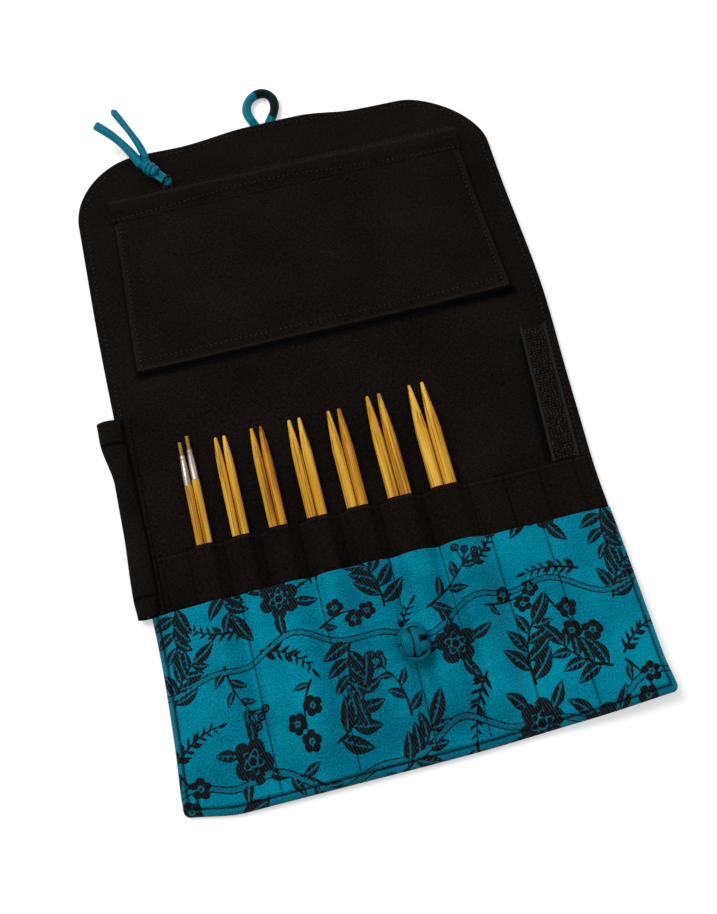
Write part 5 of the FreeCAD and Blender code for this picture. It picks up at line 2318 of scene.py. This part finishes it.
@dataclass
class Needles:
    """Fourteen bamboo needle points with their ferrules and threaded studs."""
    finishes: Finishes
    stud: float = 6.5
    pitch: float = 0.8
    core: float = 0.88
    ridge: float = 0.1
    honey: tuple[str, ...] = ("1a", "3a", "5b", "6b")
    brown: tuple[str, ...] = ("3b",)

    def build(self) -> None:
        """Finishes each needle and turns its connector."""
        for pair in range(1, 8):
            for letter in "ab":
                self.needle(f"{pair}{letter}", pair == 1)

    def shade(self, name: str) -> Shade:
        """Which bamboo a needle is made of.

        Args:
            name: its pair and letter.
        Returns:
            The shade.
        """
        if name in self.brown:
            return Shade.BROWN
        return Shade.HONEY if name in self.honey else Shade.GOLDEN

    def needle(self, name: str, upside_down: bool) -> None:
        """One needle's shaft, ferrule and threaded stud.

        Args:
            name: its pair and letter.
            upside_down: whether its point is in the pocket.
        """
        ZipPouch.dress("needle_shaft_" + name, self.finishes.bamboo[self.shade(name)])
        node = frame["nodes"]["needle_connector_" + name]
        points = np.array([node.matrix_world @ vertex.co for vertex in node.data.vertices]) / MM
        end, way = (points[:, 1].max(), -1.0) if upside_down else (points[:, 1].min(), 1.0)
        far = np.abs(points[:, 1] - end)
        first, last = points[far < 0.6].mean(0), points[np.abs(far - self.stud - 3.0) < 3.5].mean(0)
        axis = (last - first) / np.linalg.norm(last - first)
        low, high = box_mm("needle_shaft_" + name)
        thickness = (high.x - low.x) / 2
        t = np.linspace(0.0, float(far.max()), 190)
        thread = (self.core + self.ridge * np.sin(t / self.pitch * 2 * math.pi)) * smooth_step(-0.8, 0.5, t)
        ferrule = thickness * (0.72 + 0.24 * smooth_step(self.stud, self.stud + 9.0, t))
        ferrule = ferrule - 0.16 * bell(t - self.stud - 1.8, 0.25)
        finish = Connector("connector_" + name, tone(180, 168, 156), tone(146, 114, 40),
                           (end + way * self.stud) * MM, upside_down)
        radius = np.where(t < self.stud, thread, ferrule)
        turned = make_tube("connector_" + name, first + np.outer(t, axis), radius, finish.material(), 16)
        settle(turned, "needle_" + name, "ferrule_metal", "needle_connector_" + name)


class Studio:
    """Floor, light and camera."""

    azimuth = math.radians(-11.79)
    elevation = math.radians(71.35)
    roll = math.radians(-2.17)
    distance = 0.4617
    target = Vector((0.000587, 0.00263, 0.0033))
    focal_px = 1059.03

    def build(self) -> None:
        """Sets the stage."""
        bpy.context.scene.view_settings.view_transform = "Standard"
        self.floor()
        self.world()
        self.lamp("key", Vector((-0.6, 0.6, 1.2)), 0.8, 15.0)
        self.lamp("fill", Vector((0.9, -0.5, 1.0)), 1.2, 3.6)
        self.camera()

    @staticmethod
    def direct_share(graph: Graph) -> Socket:
        """1 for rays from the camera, from gloss and through glass.

        Args:
            graph: the node tree that needs it.
        Returns:
            The share.
        """
        path = graph.node("ShaderNodeLightPath")
        found = path.outputs["Is Camera Ray"]
        for name in ("Is Glossy Ray", "Is Transmission Ray"):
            most = graph.node("ShaderNodeMath", {0: found, 1: path.outputs[name]}, operation="MAXIMUM")
            found = most.outputs[0]
        return found

    def floor(self) -> None:
        """Pale floor that keeps the case's shadow."""
        mesh = bpy.data.meshes.new("floor")
        reach = 4.0
        corners = [(-reach, -reach, 0), (reach, -reach, 0), (reach, reach, 0), (-reach, reach, 0)]
        mesh.from_pydata(corners, [], [(0, 1, 2, 3)])
        floor = add_object("floor", mesh)
        paint = Paint("pale_floor")
        paint.set(Base_Color=(0.78, 0.78, 0.78, 1.0), Roughness=0.9, Specular_IOR_Level=0.0,
                  Emission_Color=(1.0, 1.0, 1.0, 1.0),
                  Emission_Strength=paint.times(self.direct_share(paint), 0.42))
        mesh.materials.append(paint.material)

    def world(self) -> None:
        """Soft white surroundings."""
        world = bpy.data.worlds.new("studio_white")
        bpy.context.scene.world = world
        world.use_nodes = True
        graph = Graph(world.node_tree)
        ground = graph.tree.nodes["Background"]
        ground.inputs["Color"].default_value = (1.0, 1.0, 1.0, 1.0)
        inputs = {"Value": self.direct_share(graph), "To Min": 0.3, "To Max": 1.0}
        level = graph.node("ShaderNodeMapRange", inputs)
        graph.feed(level.outputs[0], ground.inputs["Strength"])

    def lamp(self, name: str, place: Vector, size: float, power: float) -> None:
        """Adds a square soft lamp that looks at the case.

        Args:
            name: its name.
            place: where it stands, in metres.
            size: length of its sides.
            power: its power in watts.
        """
        data = bpy.data.lights.new(name, "AREA")
        data.size = size
        data.energy = power
        lamp = add_object(name, data)
        lamp.location = place
        lamp.rotation_mode = "QUATERNION"
        lamp.rotation_quaternion = (self.target - place).to_track_quat("-Z", "Y")

    def camera(self) -> None:
        """Camera at the photograph's viewing angle."""
        data = bpy.data.cameras.new("camera")
        data.sensor_width = SENSOR_MM
        data.lens = self.focal_px * SENSOR_MM / IMAGE_HEIGHT_PX
        camera = add_object("camera", data)
        flat = math.cos(self.elevation)
        back = Vector((math.sin(self.azimuth) * flat, -math.cos(self.azimuth) * flat,
                       math.sin(self.elevation)))
        right = Vector((0, 0, 1)).cross(back).normalized()
        up = back.cross(right)
        turned_right = math.cos(self.roll) * right + math.sin(self.roll) * up
        turned_up = -math.sin(self.roll) * right + math.cos(self.roll) * up
        eye = self.target + back * self.distance
        rotation = Matrix((turned_right, turned_up, back)).transposed().to_4x4()
        camera.matrix_world = Matrix.Translation(eye) @ rotation
        bpy.context.scene.camera = camera


def main() -> None:
    """Builds every sub-assembly in order."""
    logging.basicConfig(level=logging.INFO, format="%(name)s: %(message)s")
    Studio().build()
    finishes = Finishes()
    shape = CaseShape()
    design = FigureDesign()
    sewing = Sewing(finishes)
    Panels(shape, finishes, design, sewing).build()
    Pockets(shape, finishes, design, sewing, Channels(shape)).build()
    KnotButton(finishes).build()
    ButtonLoop(finishes, shape).build()
    SideFlap(shape, finishes, design, sewing).build()
    FasteningTape(finishes).build()
    ZipPouch(finishes, sewing).build()
    Needles(finishes).build()


if __name__ == "__main__":
    main()
